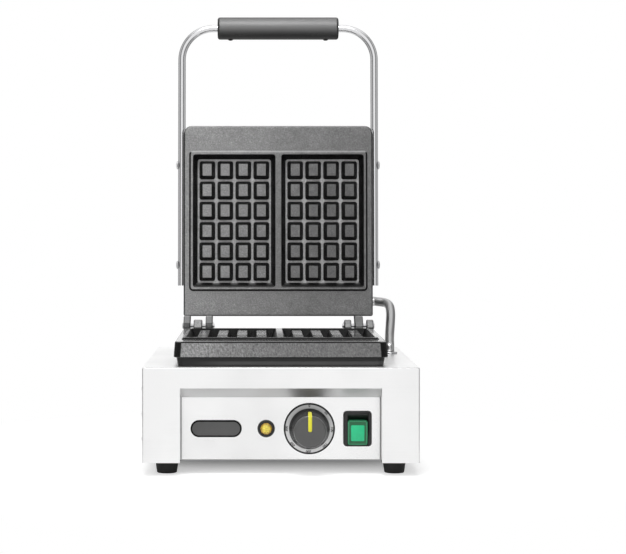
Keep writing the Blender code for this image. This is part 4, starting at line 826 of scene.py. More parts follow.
def rounded(half: Flat, radius: float, steps: int, front_radius: float | None = None) -> list[Flat]:
    """Return the outline of a rectangle with round corners around the origin.

    Args:
        half: Half the width and half the length.
        radius: The corners' radius.
        steps: Edges in each corner.
        front_radius: The radius of the two corners at the low end of the second axis.

    Returns:
        The outline's points, counter-clockwise.
    """
    points = []
    for quarter, (across, along) in enumerate(((1, 1), (-1, 1), (-1, -1), (1, -1))):
        corner = radius if front_radius is None or along > 0 else front_radius
        middle = (across * (half[0] - corner), along * (half[1] - corner))
        points += arc(middle, corner, quarter, quarter + 1, steps)
    return points


def raised(
    outline: Sequence[Flat], height: float, across: float = 0.0, along: float = 0.0
) -> list[Triple]:
    """Return a flat outline moved to a height and a place."""
    return [(x + across, y + along, height) for x, y in outline]


def facing_front(place: Vector) -> Matrix:
    """Return the frame of a part on the panel: its height grows towards the user."""
    turn = Matrix(((1, 0, 0, 0), (0, 0, -1, 0), (0, 1, 0, 0), (0, 0, 0, 1)))
    return Matrix.Translation(place) @ turn


def facing_side(place: Vector, side: int) -> Matrix:
    """Return the frame of a part whose height grows along +X, or -X for side -1."""
    return Matrix.Translation(place) @ Matrix.Rotation(side * math.pi / 2, 4, "Y")


def middle_of(node: str, side: Side | None = None) -> Vector:
    """Return the middle of a CAD node's box, or of one side of it.

    Args:
        node: The node's name.
        side: The side, or None for the middle of the whole box.

    Returns:
        The point.
    """
    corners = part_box(node)
    place = (corners[0] + corners[1]) / 2
    if side:
        axis, end = side.value
        place[axis] = corners[end][axis]
    return place


def linked(name: str, data: bpy.types.ID) -> bpy.types.Object:
    """Put new data into the scene.

    Args:
        name: The object's name.
        data: A mesh, a text, a lamp or a camera.

    Returns:
        The object that holds it.
    """
    thing = bpy.data.objects.new(name, data)
    bpy.context.scene.collection.objects.link(thing)
    return thing


class Blank:
    """A mesh in the making, in a part's own frame."""

    pole: ClassVar[float] = 1e-7
    merged: ClassVar[float] = 1e-6

    def __init__(self, frame: Matrix | None = None) -> None:
        """Start empty, in a frame that is the world's if none is given."""
        self.mesh = bmesh.new()
        self.frame = frame or Matrix.Identity(4)

    def loft(self, rings: Sequence[Sequence[Sequence[float]]], closed: bool = False) -> "Blank":
        """Join rings of the same count into a skin, with flat ends.

        Args:
            rings: The rings, each a list of points.
            closed: Whether the last ring joins the first instead of having ends.

        Returns:
            The blank itself.
        """
        rows = [[self.mesh.verts.new(self.frame @ Vector(p)) for p in ring] for ring in rings]
        pairs = list(zip(rows, rows[1:])) + ([(rows[-1], rows[0])] if closed else [])
        for low, high in pairs:
            for i, corner in enumerate(low):
                j = (i + 1) % len(low)
                self.mesh.faces.new((corner, low[j], high[j], high[i]))
        if not closed:
            self.mesh.faces.new(list(reversed(rows[0])))
            self.mesh.faces.new(rows[-1])
        return self

    def lathe(self, profile: Sequence[Flat], steps: int, closed: bool = False) -> "Blank":
        """Turn a profile around the frame's own Z.

        Args:
            profile: Radius and height of each point, with no radius at a pole.
            steps: How many sides.
            closed: Whether the profile is a loop, as of a ring.

        Returns:
            The blank itself.
        """
        rings = [raised(circle(max(radius, self.pole), steps), z) for radius, z in profile]
        self.loft(rings, closed)
        bmesh.ops.remove_doubles(self.mesh, verts=self.mesh.verts, dist=self.merged)
        return self

    def slab(self, outline: Sequence[Flat], low: float, high: float) -> "Blank":
        """Raise a flat outline into a plate between two heights."""
        return self.loft([raised(outline, low), raised(outline, high)])

    def tube(self, path: Sequence[Vector], radius: float, sides: int) -> "Blank":
        """Sweep a round section along a path without twist.

        Args:
            path: The points of the centre line.
            radius: The section's radius.
            sides: How many sides.

        Returns:
            The blank itself.
        """
        befores, afters = [path[0], *path[:-1]], [*path[1:], path[-1]]
        ways = [(after - before).normalized() for before, after in zip(befores, afters)]
        side = ways[0].orthogonal().normalized()
        rings = []
        for point, last, way in zip(path, [ways[0], *ways], ways):
            side = last.rotation_difference(way) @ side
            up = way.cross(side)
            rings.append([point + side * a + up * b for a, b in circle(radius, sides)])
        return self.loft(rings)

    def object(self, name: str) -> bpy.types.Object:
        """Turn the blank into an object.

        Args:
            name: The object's name.

        Returns:
            The new object.
        """
        bmesh.ops.recalc_face_normals(self.mesh, faces=self.mesh.faces)
        data = bpy.data.meshes.new(name)
        self.mesh.to_mesh(data)
        self.mesh.free()
        return linked(name, data)


def less(thing: bpy.types.Object, tool: Blank) -> None:
    """Cut a tool's shape out of an object's mesh.

    Args:
        thing: The object to cut.
        tool: The shape to take away.
    """
    knife = tool.object("knife")
    cut = thing.modifiers.new("cut", "BOOLEAN")
    cut.operation, cut.solver, cut.object = "DIFFERENCE", "EXACT", knife
    evaluated = thing.evaluated_get(bpy.context.evaluated_depsgraph_get())
    shaped = bpy.data.meshes.new_from_object(evaluated)
    thing.modifiers.clear()
    thing.data = shaped
    bpy.data.objects.remove(knife, do_unlink=True)


def flatten(thing: bpy.types.Object, area: float, sharp: float) -> None:
    """Give a sheet's large faces, and the rims of the folds beside them, one flat shading.

    Args:
        thing: The piece.
        area: What counts as large, in square metres.
        sharp: Faces that turn by more than this angle in degrees are not beside each other.
    """
    thing.modifiers.clear()
    mesh = thing.data
    limit = math.radians(sharp)
    corners = [Vector(corner.vector) for corner in mesh.corner_normals]
    rims: dict[int, list[Vector]] = {}
    for polygon in mesh.polygons:
        if polygon.area > area:
            for vert in polygon.vertices:
                rims.setdefault(vert, []).append(polygon.normal.copy())
    for polygon in mesh.polygons:
        for loop, vert in zip(polygon.loop_indices, polygon.vertices):
            beside = [rim for rim in rims.get(vert, []) if rim.angle(polygon.normal) < limit]
            if beside:
                corners[loop] = min(beside, key=polygon.normal.angle)
    mesh.normals_split_custom_set(corners)


class Bench:
    """Turns blanks into named, finished pieces that ride on the frame's bodies."""

    merged: ClassVar[float] = 2e-6
    flat_angle: ClassVar[float] = math.radians(1.0)
    hard_angle: ClassVar[float] = 0.5
    upright: ClassVar[float] = 0.9

    def __init__(self, frame: dict[str, Any]) -> None:
        """Keep the loaded frame's nodes."""
        self.nodes: dict[str, bpy.types.Object] = frame["nodes"]

    def piece(
        self,
        name: str,
        blank: Blank | bpy.types.Object,
        finish: Finish,
        body: Body | None,
        instead_of: Sequence[str] = (),
        sharp: float = 35.0,
        even: bool = False,
    ) -> bpy.types.Object:
        """Name, finish and hang a piece.

        Args:
            name: The piece's name.
            blank: Its mesh in the making, or the object that already holds it.
            finish: Its finish.
            body: The body it rides on, or None where it bends between two.
            instead_of: The CAD nodes that it stands for.
            sharp: Edges above this angle in degrees stay sharp.
            even: Whether its large flat faces keep their own shading.

        Returns:
            The piece.
        """
        thing = blank.object(name) if isinstance(blank, Blank) else blank
        thing.name = name
        thing.data.materials.clear()
        thing.data.materials.append(finish.material())
        thing.data.shade_smooth()
        thing.data.set_sharp_from_angle(angle=math.radians(sharp))
        if even:
            thing.modifiers.new("even_faces", "WEIGHTED_NORMAL").keep_sharp = True
        if body:
            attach(thing, body.value)
        if instead_of:
            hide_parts(*instead_of)
        LOG.info("made %s in %s", name, finish.name)
        return thing

    def soften(
        self, blank: Blank, width: float, segments: int, profile: float, upright: bool = False
    ) -> None:
        """Round the hard edges of a blank.

        Args:
            blank: The mesh in the making.
            width: How wide the soft edges get.
            segments: How many steps they have.
            profile: How full they are.
            upright: Whether only the edges that run along Y are rounded.
        """
        hard = [
            edge for edge in blank.mesh.edges
            if edge.is_manifold and edge.calc_face_angle() > self.hard_angle
        ]
        if upright:
            ways = [(edge.verts[0].co - edge.verts[1].co).normalized() for edge in hard]
            hard = [edge for edge, way in zip(hard, ways) if abs(way.y) > self.upright]
        bmesh.ops.bevel(
            blank.mesh, geom=hard, offset=width, segments=segments, profile=profile,
            affect="EDGES", clamp_overlap=True,
        )

    def refined(
        self,
        node: str,
        name: str,
        finish: Finish,
        body: Body,
        edge: float = 0.0,
        corner: float = 0.0,
        fit: Callable[[Vector], Vector] | None = None,
    ) -> bpy.types.Object:
        """Make a piece from the outline of a CAD node, with soft edges.

        Args:
            node: The CAD node, which the piece stands for.
            name: The piece's name.
            finish: Its finish.
            body: The body it rides on.
            edge: Width of the soft edges.
            corner: Radius of the corners seen from the front.
            fit: What moves each point, where the piece closes a seam more finely.

        Returns:
            The piece.
        """
        blank = Blank()
        mesh = blank.mesh
        mesh.from_mesh(self.nodes[node].data)
        bmesh.ops.remove_doubles(mesh, verts=mesh.verts, dist=self.merged)
        if fit:
            for vert in mesh.verts:
                vert.co = fit(vert.co)
        bmesh.ops.dissolve_limit(
            mesh, angle_limit=self.flat_angle, verts=mesh.verts, edges=mesh.edges
        )
        if corner:
            self.soften(blank, corner, 4, 0.5, upright=True)
        if edge:
            self.soften(blank, edge, 2, 0.6)
        return self.piece(name, blank, finish, body, (node,), 30.0, True)

    def dress(self, finish: Finish, *nodes: str) -> None:
        """Give CAD nodes whose shape is right a finish.

        Args:
            finish: The finish.
            nodes: The nodes' names.
        """
        for node in nodes:
            for holder in self.nodes[node].material_slots:
                holder.material = finish.material()
            LOG.info("dressed %s in %s", node, finish.name)


# Sub-assemblies


class Hinge:
    """The frames of the two plates.

    Their axes are x, the distance from the hinge and the depth from the parting plane.
    """

    def upper(self) -> Matrix:
        """Return the lid's frame, which leans back."""
        rows = ((0, math.sin(LEAN), math.cos(LEAN)), (0, math.cos(LEAN), -math.sin(LEAN)))
        return Matrix.Translation(HINGE) @ Matrix((RIGHT, *rows)).to_4x4()

    def lower(self) -> Matrix:
        """Return the lower plate's frame, which lies flat."""
        return Matrix.Translation(HINGE) @ Matrix((RIGHT, (0, -1, 0), (0, 0, -1))).to_4x4()


@dataclass
class Assembly:
    """A sub-assembly that is made on the bench."""

    bench: Bench

    def make(self) -> None:
        """Build every piece of the sub-assembly."""
        raise NotImplementedError(type(self).__name__)


@dataclass
class Screw:
    """A domed cross-head screw that stands for a CAD one."""

    bench: Bench
    radius: float = 0.00525
    rise: float = 0.0018
    slot: float = 0.0007
    reach_share: float = 0.62
    rim_share: float = 0.15
    slot_floor_share: float = 0.35
    finish: Finish = ZINC

    def head(self, frame: Matrix) -> Blank:
        """Return the dome, whose seat is the frame's own plane.

        Args:
            frame: The screw's seat.

        Returns:
            The dome's blank.
        """
        profile = [(0.0, 0.0), (self.radius, 0.0), (self.radius, self.rise * self.rim_share)]
        for x, y in arc((0.0, 0.0), 1.0, 0, 1, 6)[1:]:
            share = self.rim_share + (1.0 - self.rim_share) * y
            profile.append((self.radius * x, self.rise * share))
        return Blank(frame).lathe(profile, 32)

    def fit(self, name: str, node: str, frame: Matrix, body: Body) -> None:
        """Build one screw head and its cross.

        Args:
            name: The piece's name.
            node: The CAD screw that it stands for.
            frame: Its seat, with the head towards +Z of the frame.
            body: The body it rides on.
        """
        low, high = self.rise * self.slot_floor_share, self.rise * 1.5
        long, narrow = self.radius * self.reach_share, self.slot / 2
        thing = self.head(frame).object(name)
        for x, y in ((long, narrow), (narrow, long)):
            less(thing, Blank(frame).slab([(x, y), (-x, y), (-x, -y), (x, -y)], low, high))
        self.bench.piece(name, thing, self.finish, body, (node,), 40.0)


@dataclass
class Casing(Assembly):
    """The folded base with its panel, cover, feet and what is inside it."""

    large_face: float = 0.0005
    fold_angle: float = 30.0
    panel_seam: float = 0.0009
    panel_rim: float = 0.0005
    foot_top: float = 0.0134
    foot_bottom: float = 0.0112
    foot_height: float = 0.0149
    foot_edge: float = 0.0009
    lip: float = 0.0016
    lip_edge: float = 0.0005
    lip_flare: float = 0.0004
    screw_hole: float = 0.0028
    pocket: float = 0.0062
    pocket_depth: float = 0.008
    corners: Sequence[str] = ("front_left", "front_right", "rear_left", "rear_right")

    def close_seam(self, point: Vector) -> Vector:
        """Move a point of the panel's side and top edges to a hair's breadth of the casing.

        Args:
            point: The point of the CAD panel.

        Returns:
            The moved point.
        """
        _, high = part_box("control_panel")
        moved = point.copy()
        if abs(point.x) > high.x - self.panel_rim:
            moved.x += math.copysign(self.panel_seam, point.x)
        if point.z > high.z - self.panel_rim:
            moved.z += self.panel_seam
        return moved

    def make_sheets(self) -> None:
        """Make the casing, the panel and the cover."""
        casing = self.bench.refined("base_casing", "casing_skin", STEEL, Body.BASE)
        flatten(casing, self.large_face, self.fold_angle)
        self.bench.refined(
            "control_panel", "panel_face", PANEL_STEEL, Body.BASE, fit=self.close_seam
        )
        self.bench.refined("bottom_cover", "cover_sheet", COVER_STEEL, Body.BASE)

    def make_feet(self) -> None:
        """Turn the four rubber feet."""
        rim = self.foot_height - self.lip_edge
        profile = [
            (self.pocket, 0.0), (self.foot_bottom - self.foot_edge, 0.0),
            (self.foot_bottom - self.foot_edge * 0.3, self.foot_edge * 0.3),
            (self.foot_bottom, self.foot_edge),
            (self.foot_top - self.lip_flare, rim - self.lip),
            (self.foot_top, rim - self.lip + self.lip_flare), (self.foot_top, rim),
            (self.foot_top - self.lip_edge, self.foot_height), (self.screw_hole, self.foot_height),
            (self.screw_hole, self.pocket_depth), (self.pocket, self.pocket_depth),
        ]
        for corner in self.corners:
            place = middle_of(f"foot_{corner}")
            place.z = 0.0
            blank = Blank(Matrix.Translation(place)).lathe(profile, 48, closed=True)
            self.bench.piece(
                f"rubber_foot_{corner}", blank, RUBBER, Body.BASE, (f"foot_{corner}",)
            )

    def make(self) -> None:
        """Build the whole base, and finish what only shows from below or inside."""
        self.make_sheets()
        self.make_feet()
        dress = self.bench.dress
        dress(ZINC, *(f"foot_screw_{corner}" for corner in self.corners))
        dress(ZINC, *(f"plate_screw_{i}" for i in range(1, 5)))
        dress(SHEATH, "lower_heating_element")
        dress(COPPER, "thermostat_bulb")
        dress(THERMOSTAT, "thermostat_body")
        dress(CERAMIC, "terminal_block")
        dress(BLACK, "cable_gland", "gland_nut", "pilot_nut")
        dress(ZINC, "thermostat_shaft")


@dataclass
class WafflePlate(Assembly):
    """One cast plate: a rim, a ridge, two cavities, their studs and the hinge lugs.

    Depths are measured from the parting plane. The ridge, cavity and stud steps each give a
    depth or a height, how far the outline grows or narrows there, and its corners' radius.
    """

    frame: Matrix
    name: str
    node: str
    finish: Finish
    body: Body
    heel: bool
    half_width: float = 0.11775
    near: float = PLATE_NEAR
    far: float = PLATE_FAR
    margin: float = 0.0025
    back: float = 0.0205
    back_edge: float = 0.0007
    rim: float = 0.0021
    rim_land: float = 0.001
    draft: float = 0.0012
    far_corner: float = 0.0092
    near_corner: float = 0.002
    ridge: float = 0.003
    slope: float = 0.0022
    slope_corner: float = 0.0047
    ridge_steps: Sequence[Triple] = ((0.0004, 0.0002, 0.0032), (0.00015, -0.0003, 0.0028))
    cavity_x: Flat = (0.00405, 0.10625)
    cavity_half: float = 0.08255
    depth: float = 0.0125
    wall_run: float = 0.005
    mouth_steps: Sequence[Triple] = (
        (-0.002, 0.0024, 0.0044), (0.00015, 0.0005, 0.0035), (0.0009, -0.0003, 0.003),
    )
    floor_steps: Sequence[Triple] = (
        (0.0009, 0.00036, 0.003), (0.0002, -0.0001, 0.003), (0.0, -0.0008, 0.0026),
    )
    columns: int = 4
    rows: int = 6
    first_column: float = FIRST_COLUMN
    pitch: Flat = STUD_PITCH
    stud_base: Flat = (0.0198, 0.0228)
    stud_top: Flat = (0.0113, 0.0150)
    stud_sink: float = 0.0018
    stud_foot_steps: Sequence[Triple] = (
        (-0.0004, 1.03, 0.0030), (0.0001, 1.0, 0.0028), (0.0006, 0.95, 0.0026),
    )
    stud_crown_steps: Sequence[Triple] = (
        (0.0006, 0.04, 0.0009), (0.0002, -0.01, 0.0008), (0.0, -0.10, 0.0006),
    )
    lug_centre: float = 0.100
    lug_radius: float = 0.0076
    lug_edge: float = 0.0009
    lug_end_share: float = 0.87
    sunk: float = 0.0005
    fork: Flat = (0.0095, 0.018)
    tongue_half: float = 0.00525
    heel_width: float = 0.008
    heel_gap: float = 0.0003
    boss_places: Flat = (0.045, 0.217)
    boss_radius: float = 0.006
    boss_height: float = 0.0074
    boss_sunk: float = 0.001

    @property
    def centre(self) -> float:
        """Return how far the plate's middle is from the hinge."""
        return (self.near + self.far) / 2

    def ring(
        self, half: Flat, radius: float, depth: float, near_radius: float | None = None
    ) -> list[Triple]:
        """Return a rounded ring around the plate's middle at a depth."""
        return raised(rounded(half, radius, 5, near_radius), depth, 0.0, self.centre)

    def block(self) -> Blank:
        """Return the casting's block with its raised ridge.

        Returns:
            The block's blank.
        """
        rim, margin = self.rim, self.margin
        rings = []
        for inset, depth, draft in (
            (self.back_edge, self.back, self.draft), (0.0, self.back - self.back_edge, self.draft),
            (0.0, margin + rim, 0.0), (rim * 0.13, margin + rim * 0.5, 0.0),
            (rim * 0.5, margin + rim * 0.13, 0.0), (rim, margin, 0.0),
            (rim + self.rim_land, margin, 0.0),
        ):
            half = (self.half_width + draft - inset, (self.far - self.near) / 2 - inset)
            rings.append(self.ring(half, self.far_corner, depth, self.near_corner))
        ridge_x, ridge_y = self.cavity_x[1] + self.ridge, self.cavity_half + self.ridge
        for depth, grow, radius in ((margin, self.slope, self.slope_corner), *self.ridge_steps):
            rings.append(self.ring((ridge_x + grow, ridge_y + grow), radius, depth))
        return Blank(self.frame).loft(rings)

    def cavity(self, side: int) -> Blank:
        """Return the space of one cavity.

        Args:
            side: -1 for the left cavity, 1 for the right one.

        Returns:
            The cavity's blank.
        """
        low, high = self.cavity_x
        steps = list(self.mouth_steps)
        for rise, grow, radius in self.floor_steps:
            steps.append((self.depth - rise, grow - self.wall_run, radius))
        rings = []
        for depth, grow, radius in steps:
            outline = rounded(((high - low) / 2 + grow, self.cavity_half + grow), radius, 5)
            rings.append(raised(outline, depth, side * (high + low) / 2, self.centre))
        return Blank(self.frame).loft(rings)

    def add_studs(self, blank: Blank) -> None:
        """Add the waffle studs, each a tapered block with round corners at its foot.

        Args:
            blank: The casting.
        """
        steps = [(self.depth - rise, share, radius) for rise, share, radius in self.stud_foot_steps]
        for drop, share, radius in self.stud_crown_steps:
            steps.append((self.stud_sink + drop, share, radius))
        outlines = []
        for depth, share, radius in steps:
            wide, long = (
                (top + (base - top) * share) / 2 for base, top in zip(self.stud_base, self.stud_top)
            )
            outlines.append((rounded((wide, long), radius, 3), depth))
        for side, column, row in product((-1, 1), range(self.columns), range(self.rows)):
            x = side * (self.first_column + column * self.pitch[0])
            y = self.centre + (row - (self.rows - 1) / 2) * self.pitch[1]
            blank.loft([raised(outline, depth, x, y) for outline, depth in outlines])

    def lug(self, heel: bool) -> list[Flat]:
        """Return a hinge lug's side outline as distance from the hinge and depth.

        Args:
            heel: Whether the lug carries the stop heel.

        Returns:
            The outline's points.
        """
        root, radius = self.near + self.sunk, self.lug_radius
        outline = [(root, self.margin), (root, self.back - self.sunk), (radius / 2, radius)]
        outline += arc((0.0, 0.0), radius, 1, 2 if heel else 3, 12)
        if heel:
            reach = (self.near - self.heel_gap) / math.cos(LEAN)
            outline.append((-self.heel_width, -reach + self.heel_width * math.tan(LEAN)))
            outline.append((0.0, -reach))
        outline.append((radius / 2, -radius))
        return outline

    def add_lugs(self, blank: Blank) -> None:
        """Add the fork lug, the tongue lug and the screw bosses.

        Args:
            blank: The casting.
        """
        centre, (inner, outer), edge = self.lug_centre, self.fork, self.lug_edge
        mirror = 1 if self.body is Body.LID else -1
        for low, high, heel in (
            (-centre - outer, -centre - inner, False), (-centre + inner, -centre + outer, False),
            (centre - self.tongue_half, centre + self.tongue_half, self.heel),
        ):
            rings = []
            for x, share in (
                (low, self.lug_end_share), (low + edge, 1.0), (high - edge, 1.0),
                (high, self.lug_end_share),
            ):
                rings.append([(mirror * x, y * share, z * share) for y, z in self.lug(heel)])
            blank.loft(rings)
        foot, top = self.back - self.boss_sunk, self.back + self.boss_height
        boss = circle(self.boss_radius, 24)
        for x, near in product((-centre, centre), self.boss_places):
            blank.loft([raised(boss, foot, x, near), raised(boss, top, x, near)])

    def make(self) -> None:
        """Cast the plate: cut the cavities, then add studs and lugs."""
        thing = self.block().object(self.name)
        for side in (-1, 1):
            less(thing, self.cavity(side))
        blank = Blank(self.frame)
        blank.mesh.from_mesh(thing.data)
        bpy.data.objects.remove(thing, do_unlink=True)
        self.add_studs(blank)
        self.add_lugs(blank)
        self.bench.piece(self.name, blank, self.finish, self.body, (self.node,), 32.0, True)


@dataclass
class Tray(Assembly):
    """The black dish under the lower plate, and the hinge's pins and clips."""

    edge: float = 0.0011

    def make(self) -> None:
        """Make the dish and dress the hinge."""
        self.bench.refined("lower_tray", "tray_dish", ENAMEL, Body.BASE, self.edge)
        for word in ("left", "right"):
            self.bench.dress(ZINC, f"hinge_pin_{word}", f"hinge_clip_{word}")


@dataclass
class Hood(Assembly):
    """The steel hood over the upper plate, its screws and what it covers."""

    frame: Matrix
    top: float = 0.0803
    screw_across: Flat = (-0.1, 0.1)
    screw_along: Flat = (0.045, 0.217)
    screw_radius: float = 0.0045
    screw_rise: float = 0.002

    def make(self) -> None:
        """Make the hood, fit its screw heads and dress what it covers."""
        self.bench.refined("upper_hood", "hood_skin", HOOD_STEEL, Body.LID)
        self.bench.dress(SHEATH, "upper_heating_element")
        self.bench.dress(COVER_STEEL, "upper_reflector")
        self.bench.dress(FIBRE, "upper_insulation")
        screw = Screw(self.bench, self.screw_radius, self.screw_rise)
        for i, (near, x) in enumerate(product(self.screw_along, self.screw_across), 1):
            seat = self.frame @ Matrix.Translation((x, near, self.top))
            screw.fit(f"hood_screw_head_{i}", f"hood_screw_{i}", seat, Body.LID)


@dataclass
class Handle(Assembly):
    """The bent chrome rod, its grip and their screws."""

    frame: Matrix
    span: float = 0.1217
    reach: float = 0.3758
    leg_end: float = 0.050
    plane: float = 0.028
    bend: float = 0.040
    rod: float = 0.00475
    grip_half: float = 0.0765
    grip_radius: float = 0.01409
    grip_edge: float = 0.0030
    grip_gap: float = 0.0002
    screws: Flat = (0.076, 0.202)
    screw_gap: float = 0.0003
    grip_screw_place: float = 0.0602
    grip_screw_gap: float = 0.0002
    grip_screw: Triple = (0.0029, 0.0012, 0.0005)

    def route(self) -> list[Vector]:
        """Return the rod's centre line.

        Returns:
            The points from the left leg's end to the right leg's end.
        """
        across, along = self.span - self.bend, self.reach - self.bend
        points = [(-self.span, self.leg_end), (-self.span, self.screws[1])]
        points += arc((-across, along), self.bend, 2, 1, 16)
        points += arc((across, along), self.bend, 1, 0, 16)
        points += [(self.span, self.screws[1]), (self.span, self.leg_end)]
        return [self.frame @ Vector((x, near, self.plane)) for x, near in points]

    def make_grip(self) -> None:
        """Turn the round grip and fit the two screws on its hinge side."""
        half, radius, edge = self.grip_half, self.grip_radius, self.grip_edge
        bore = self.rod + self.grip_gap
        profile = [(bore, -half)]
        profile += arc((radius - edge, -half + edge), edge, -1, 0, 6)
        profile += arc((radius - edge, half - edge), edge, 0, 1, 6)
        profile.append((bore, half))
        place = self.frame @ Vector((0.0, self.reach, self.plane))
        blank = Blank(facing_side(place, 1)).lathe(profile, 64, closed=True)
        self.bench.piece("grip_sleeve", blank, GRIP_BLACK, Body.LID, ("handle_grip",), 50.0)
        screw = Screw(self.bench, *self.grip_screw, finish=BLACK)
        turn = Matrix.Rotation(math.pi / 2, 4, "X")
        for side, word in ((-1, "left"), (1, "right")):
            level = self.reach - radius - self.grip_screw_gap
            shift = Matrix.Translation((side * self.grip_screw_place, level, self.plane))
            node = f"grip_screw_{word}"
            screw.fit(f"grip_screw_head_{word}", node, self.frame @ shift @ turn, Body.LID)

    def make(self) -> None:
        """Bend the rod, fit the grip and the four dome-head screws of the rod."""
        blank = Blank().tube(self.route(), self.rod, 28)
        self.bench.piece("chrome_rod", blank, CHROME, Body.LID, ("handle_rod",), 50.0)
        self.make_grip()
        screw = Screw(self.bench)
        across = self.span + self.rod + self.screw_gap
        for side, word in ((-1, "left"), (1, "right")):
            for near, level in zip(self.screws, ("near", "far")):
                place = self.frame @ Vector((side * across, near, self.plane))
                node = f"handle_screw_{word}_{level}"
                screw.fit(f"{node}_head", node, facing_side(place, side), Body.LID)


@dataclass
class Knob(Assembly):
    """The thermostat knob, its pointer strip and the dial ring behind it.

    The brow steps give how far in from the face's edge and how far down each point is. The
    pointer steps give a height above the strip's start, or how far its end reaches past the
    middle, and the share of its width.
    """

    skirt_radius: float = 0.0225
    skirt: float = 0.004
    skirt_edge: float = 0.0006
    side_gap: float = 0.0010
    face_radius: float = 0.0172
    height: float = 0.030
    cap: float = 0.0026
    brow: float = 0.0014
    brow_steps: Sequence[Flat] = (
        (0.0, 0.0014), (0.0003, 0.0008), (0.0008, 0.0003), (0.0014, 0.0), (0.0022, 0.0),
        (0.0027, 0.0002), (0.0036, 0.0002),
    )
    dish: float = 0.0002
    dial_radius: float = 0.0284
    dial_hole: float = 0.008
    dial_thickness: float = 0.001
    dial_edge: float = 0.0003
    dial_border: Flat = (0.0021, 0.0016)
    number_radius: float = 0.0254
    number_size: float = 0.0040
    number_weight: float = 0.00014
    number_rise: float = 0.00005
    pointer_half: float = 0.0021
    pointer_start: float = 0.0165
    pointer_rise: float = 0.0006
    pointer_foot_steps: Sequence[Flat] = ((0.0, 0.35), (0.0004, 0.75), (0.0014, 1.0))
    pointer_bend: Flat = (0.0003, 0.0007)
    pointer_tip_steps: Sequence[Flat] = ((0.0012, 1.0), (0.0003, 0.75), (-0.0001, 0.35))
    numbers: Sequence[tuple[str, float]] = (
        ("0", 0.0), ("50", 47.0), ("100", 92.0), ("150", 137.0), ("200", 182.0),
        ("250", 227.0), ("300", 270.0),
    )

    def make_dial(self) -> None:
        """Make the silver ring and its printed numbers."""
        place = middle_of("dial_ring", Side.BACK)
        frame = facing_front(place)
        radius, thick, edge = self.dial_radius, self.dial_thickness, self.dial_edge
        profile = [
            (self.dial_hole, 0.0), (radius, 0.0), (radius, thick - edge), (radius - edge, thick),
            (self.dial_hole, thick),
        ]
        silver = Zoned(
            "dial_silver", "dial_silver", grey(226), 0.34, 0.6, middle=(place.x, place.z),
            outer=grey(26), fade=(radius - self.dial_border[0], radius - self.dial_border[1]),
            turned_lines=2600.0,
        )
        blank = Blank(frame).lathe(profile, 96, closed=True)
        self.bench.piece("dial_plate", blank, silver, Body.BASE, ("dial_ring",))
        for text, turn in self.numbers:
            self.make_number(text, math.radians(turn), frame)

    def make_number(self, text: str, turn: float, frame: Matrix) -> None:
        """Print one number on the ring.

        Args:
            text: The number.
            turn: Its place clockwise from the top, in radians.
            frame: The ring's frame.
        """
        name = f"dial_number_{text}"
        curve = bpy.data.curves.new(name, "FONT")
        curve.body = text
        curve.size, curve.offset = self.number_size, self.number_weight
        curve.align_x, curve.align_y = "CENTER", "CENTER"
        curve.resolution_u = 3
        writing = linked(name, curve)
        bpy.context.view_layer.update()
        data = bpy.data.meshes.new_from_object(writing)
        bpy.data.objects.remove(writing, do_unlink=True)
        level = self.dial_thickness + self.number_rise
        shift = Matrix.Translation((0.0, self.number_radius, level))
        data.transform(frame @ Matrix.Rotation(-turn, 4, "Z") @ shift)
        self.bench.piece(name, linked(name, data), INK, Body.BASE)

    def side(self, height: float) -> float:
        """Return the tapered side's radius at a height above the panel."""
        share = (height - self.skirt) / (self.height - self.skirt)
        return self.skirt_radius + (self.face_radius - self.skirt_radius) * share

    def make(self) -> None:
        """Build the dial, the knob and its pointer."""
        self.make_dial()
        frame = facing_front(middle_of("knob", Side.BACK))
        radius, skirt, edge = self.skirt_radius, self.skirt, self.skirt_edge
        low, high = skirt + self.side_gap, self.height - self.cap
        profile = [
            (0.0, 0.0), (radius - edge, 0.0), (radius, edge), (radius, skirt - edge),
            (radius - edge, skirt), (self.side(low), low), (self.side(high), high), (0.0, high),
        ]
        blank = Blank(frame).lathe(profile, 96)
        self.bench.piece("knob_body", blank, KNOB_SIDE_SHADE, Body.KNOB, ("knob",), 30.0)
        rim = self.side(self.height - self.brow)
        profile = [(0.0, high), (self.side(high), high)]
        profile += [(rim - inward, self.height - drop) for inward, drop in self.brow_steps]
        profile.append((0.0, self.height - self.dish))
        blank = Blank(frame).lathe(profile, 96)
        self.bench.piece("knob_cap", blank, KNOB_GREY, Body.KNOB, (), 30.0, True)
        self.make_pointer(frame)

    def make_pointer(self, frame: Matrix) -> None:
        """Lay the yellow strip up the side, over the edge and down to the middle.

        Args:
            frame: The knob's frame.
        """
        start, top = self.pointer_start, self.height
        rim, (inward, drop) = self.side(top - self.brow), self.pointer_bend
        line = [(self.side(start + up), start + up, wide) for up, wide in self.pointer_foot_steps]
        line += [(rim, top - self.brow, 1.0), (rim - inward, top - drop, 1.0)]
        line.append((rim - self.brow, top, 1.0))
        line += [(radius, top, wide) for radius, wide in self.pointer_tip_steps]
        befores, afters = [line[0], *line[:-1]], [*line[1:], line[-1]]
        rings = []
        for before, (radius, height, wide), after in zip(befores, line, afters):
            way = Vector((after[0] - before[0], after[1] - before[1])).normalized()
            out = Vector((way.y, -way.x)) * self.pointer_rise
            half, spine = self.pointer_half * wide, Vector((radius, height))
            section = [(half, -1.0), (half, 0.5), (half * 0.8, 1.0)]
            section += [(-x, level) for x, level in reversed(section)]
            rings.append([(x, *(spine + out * level)) for x, level in section])
        blank = Blank(frame).loft(rings)
        self.bench.piece("pointer_strip", blank, YELLOW, Body.KNOB, ("knob_pointer",), 50.0)


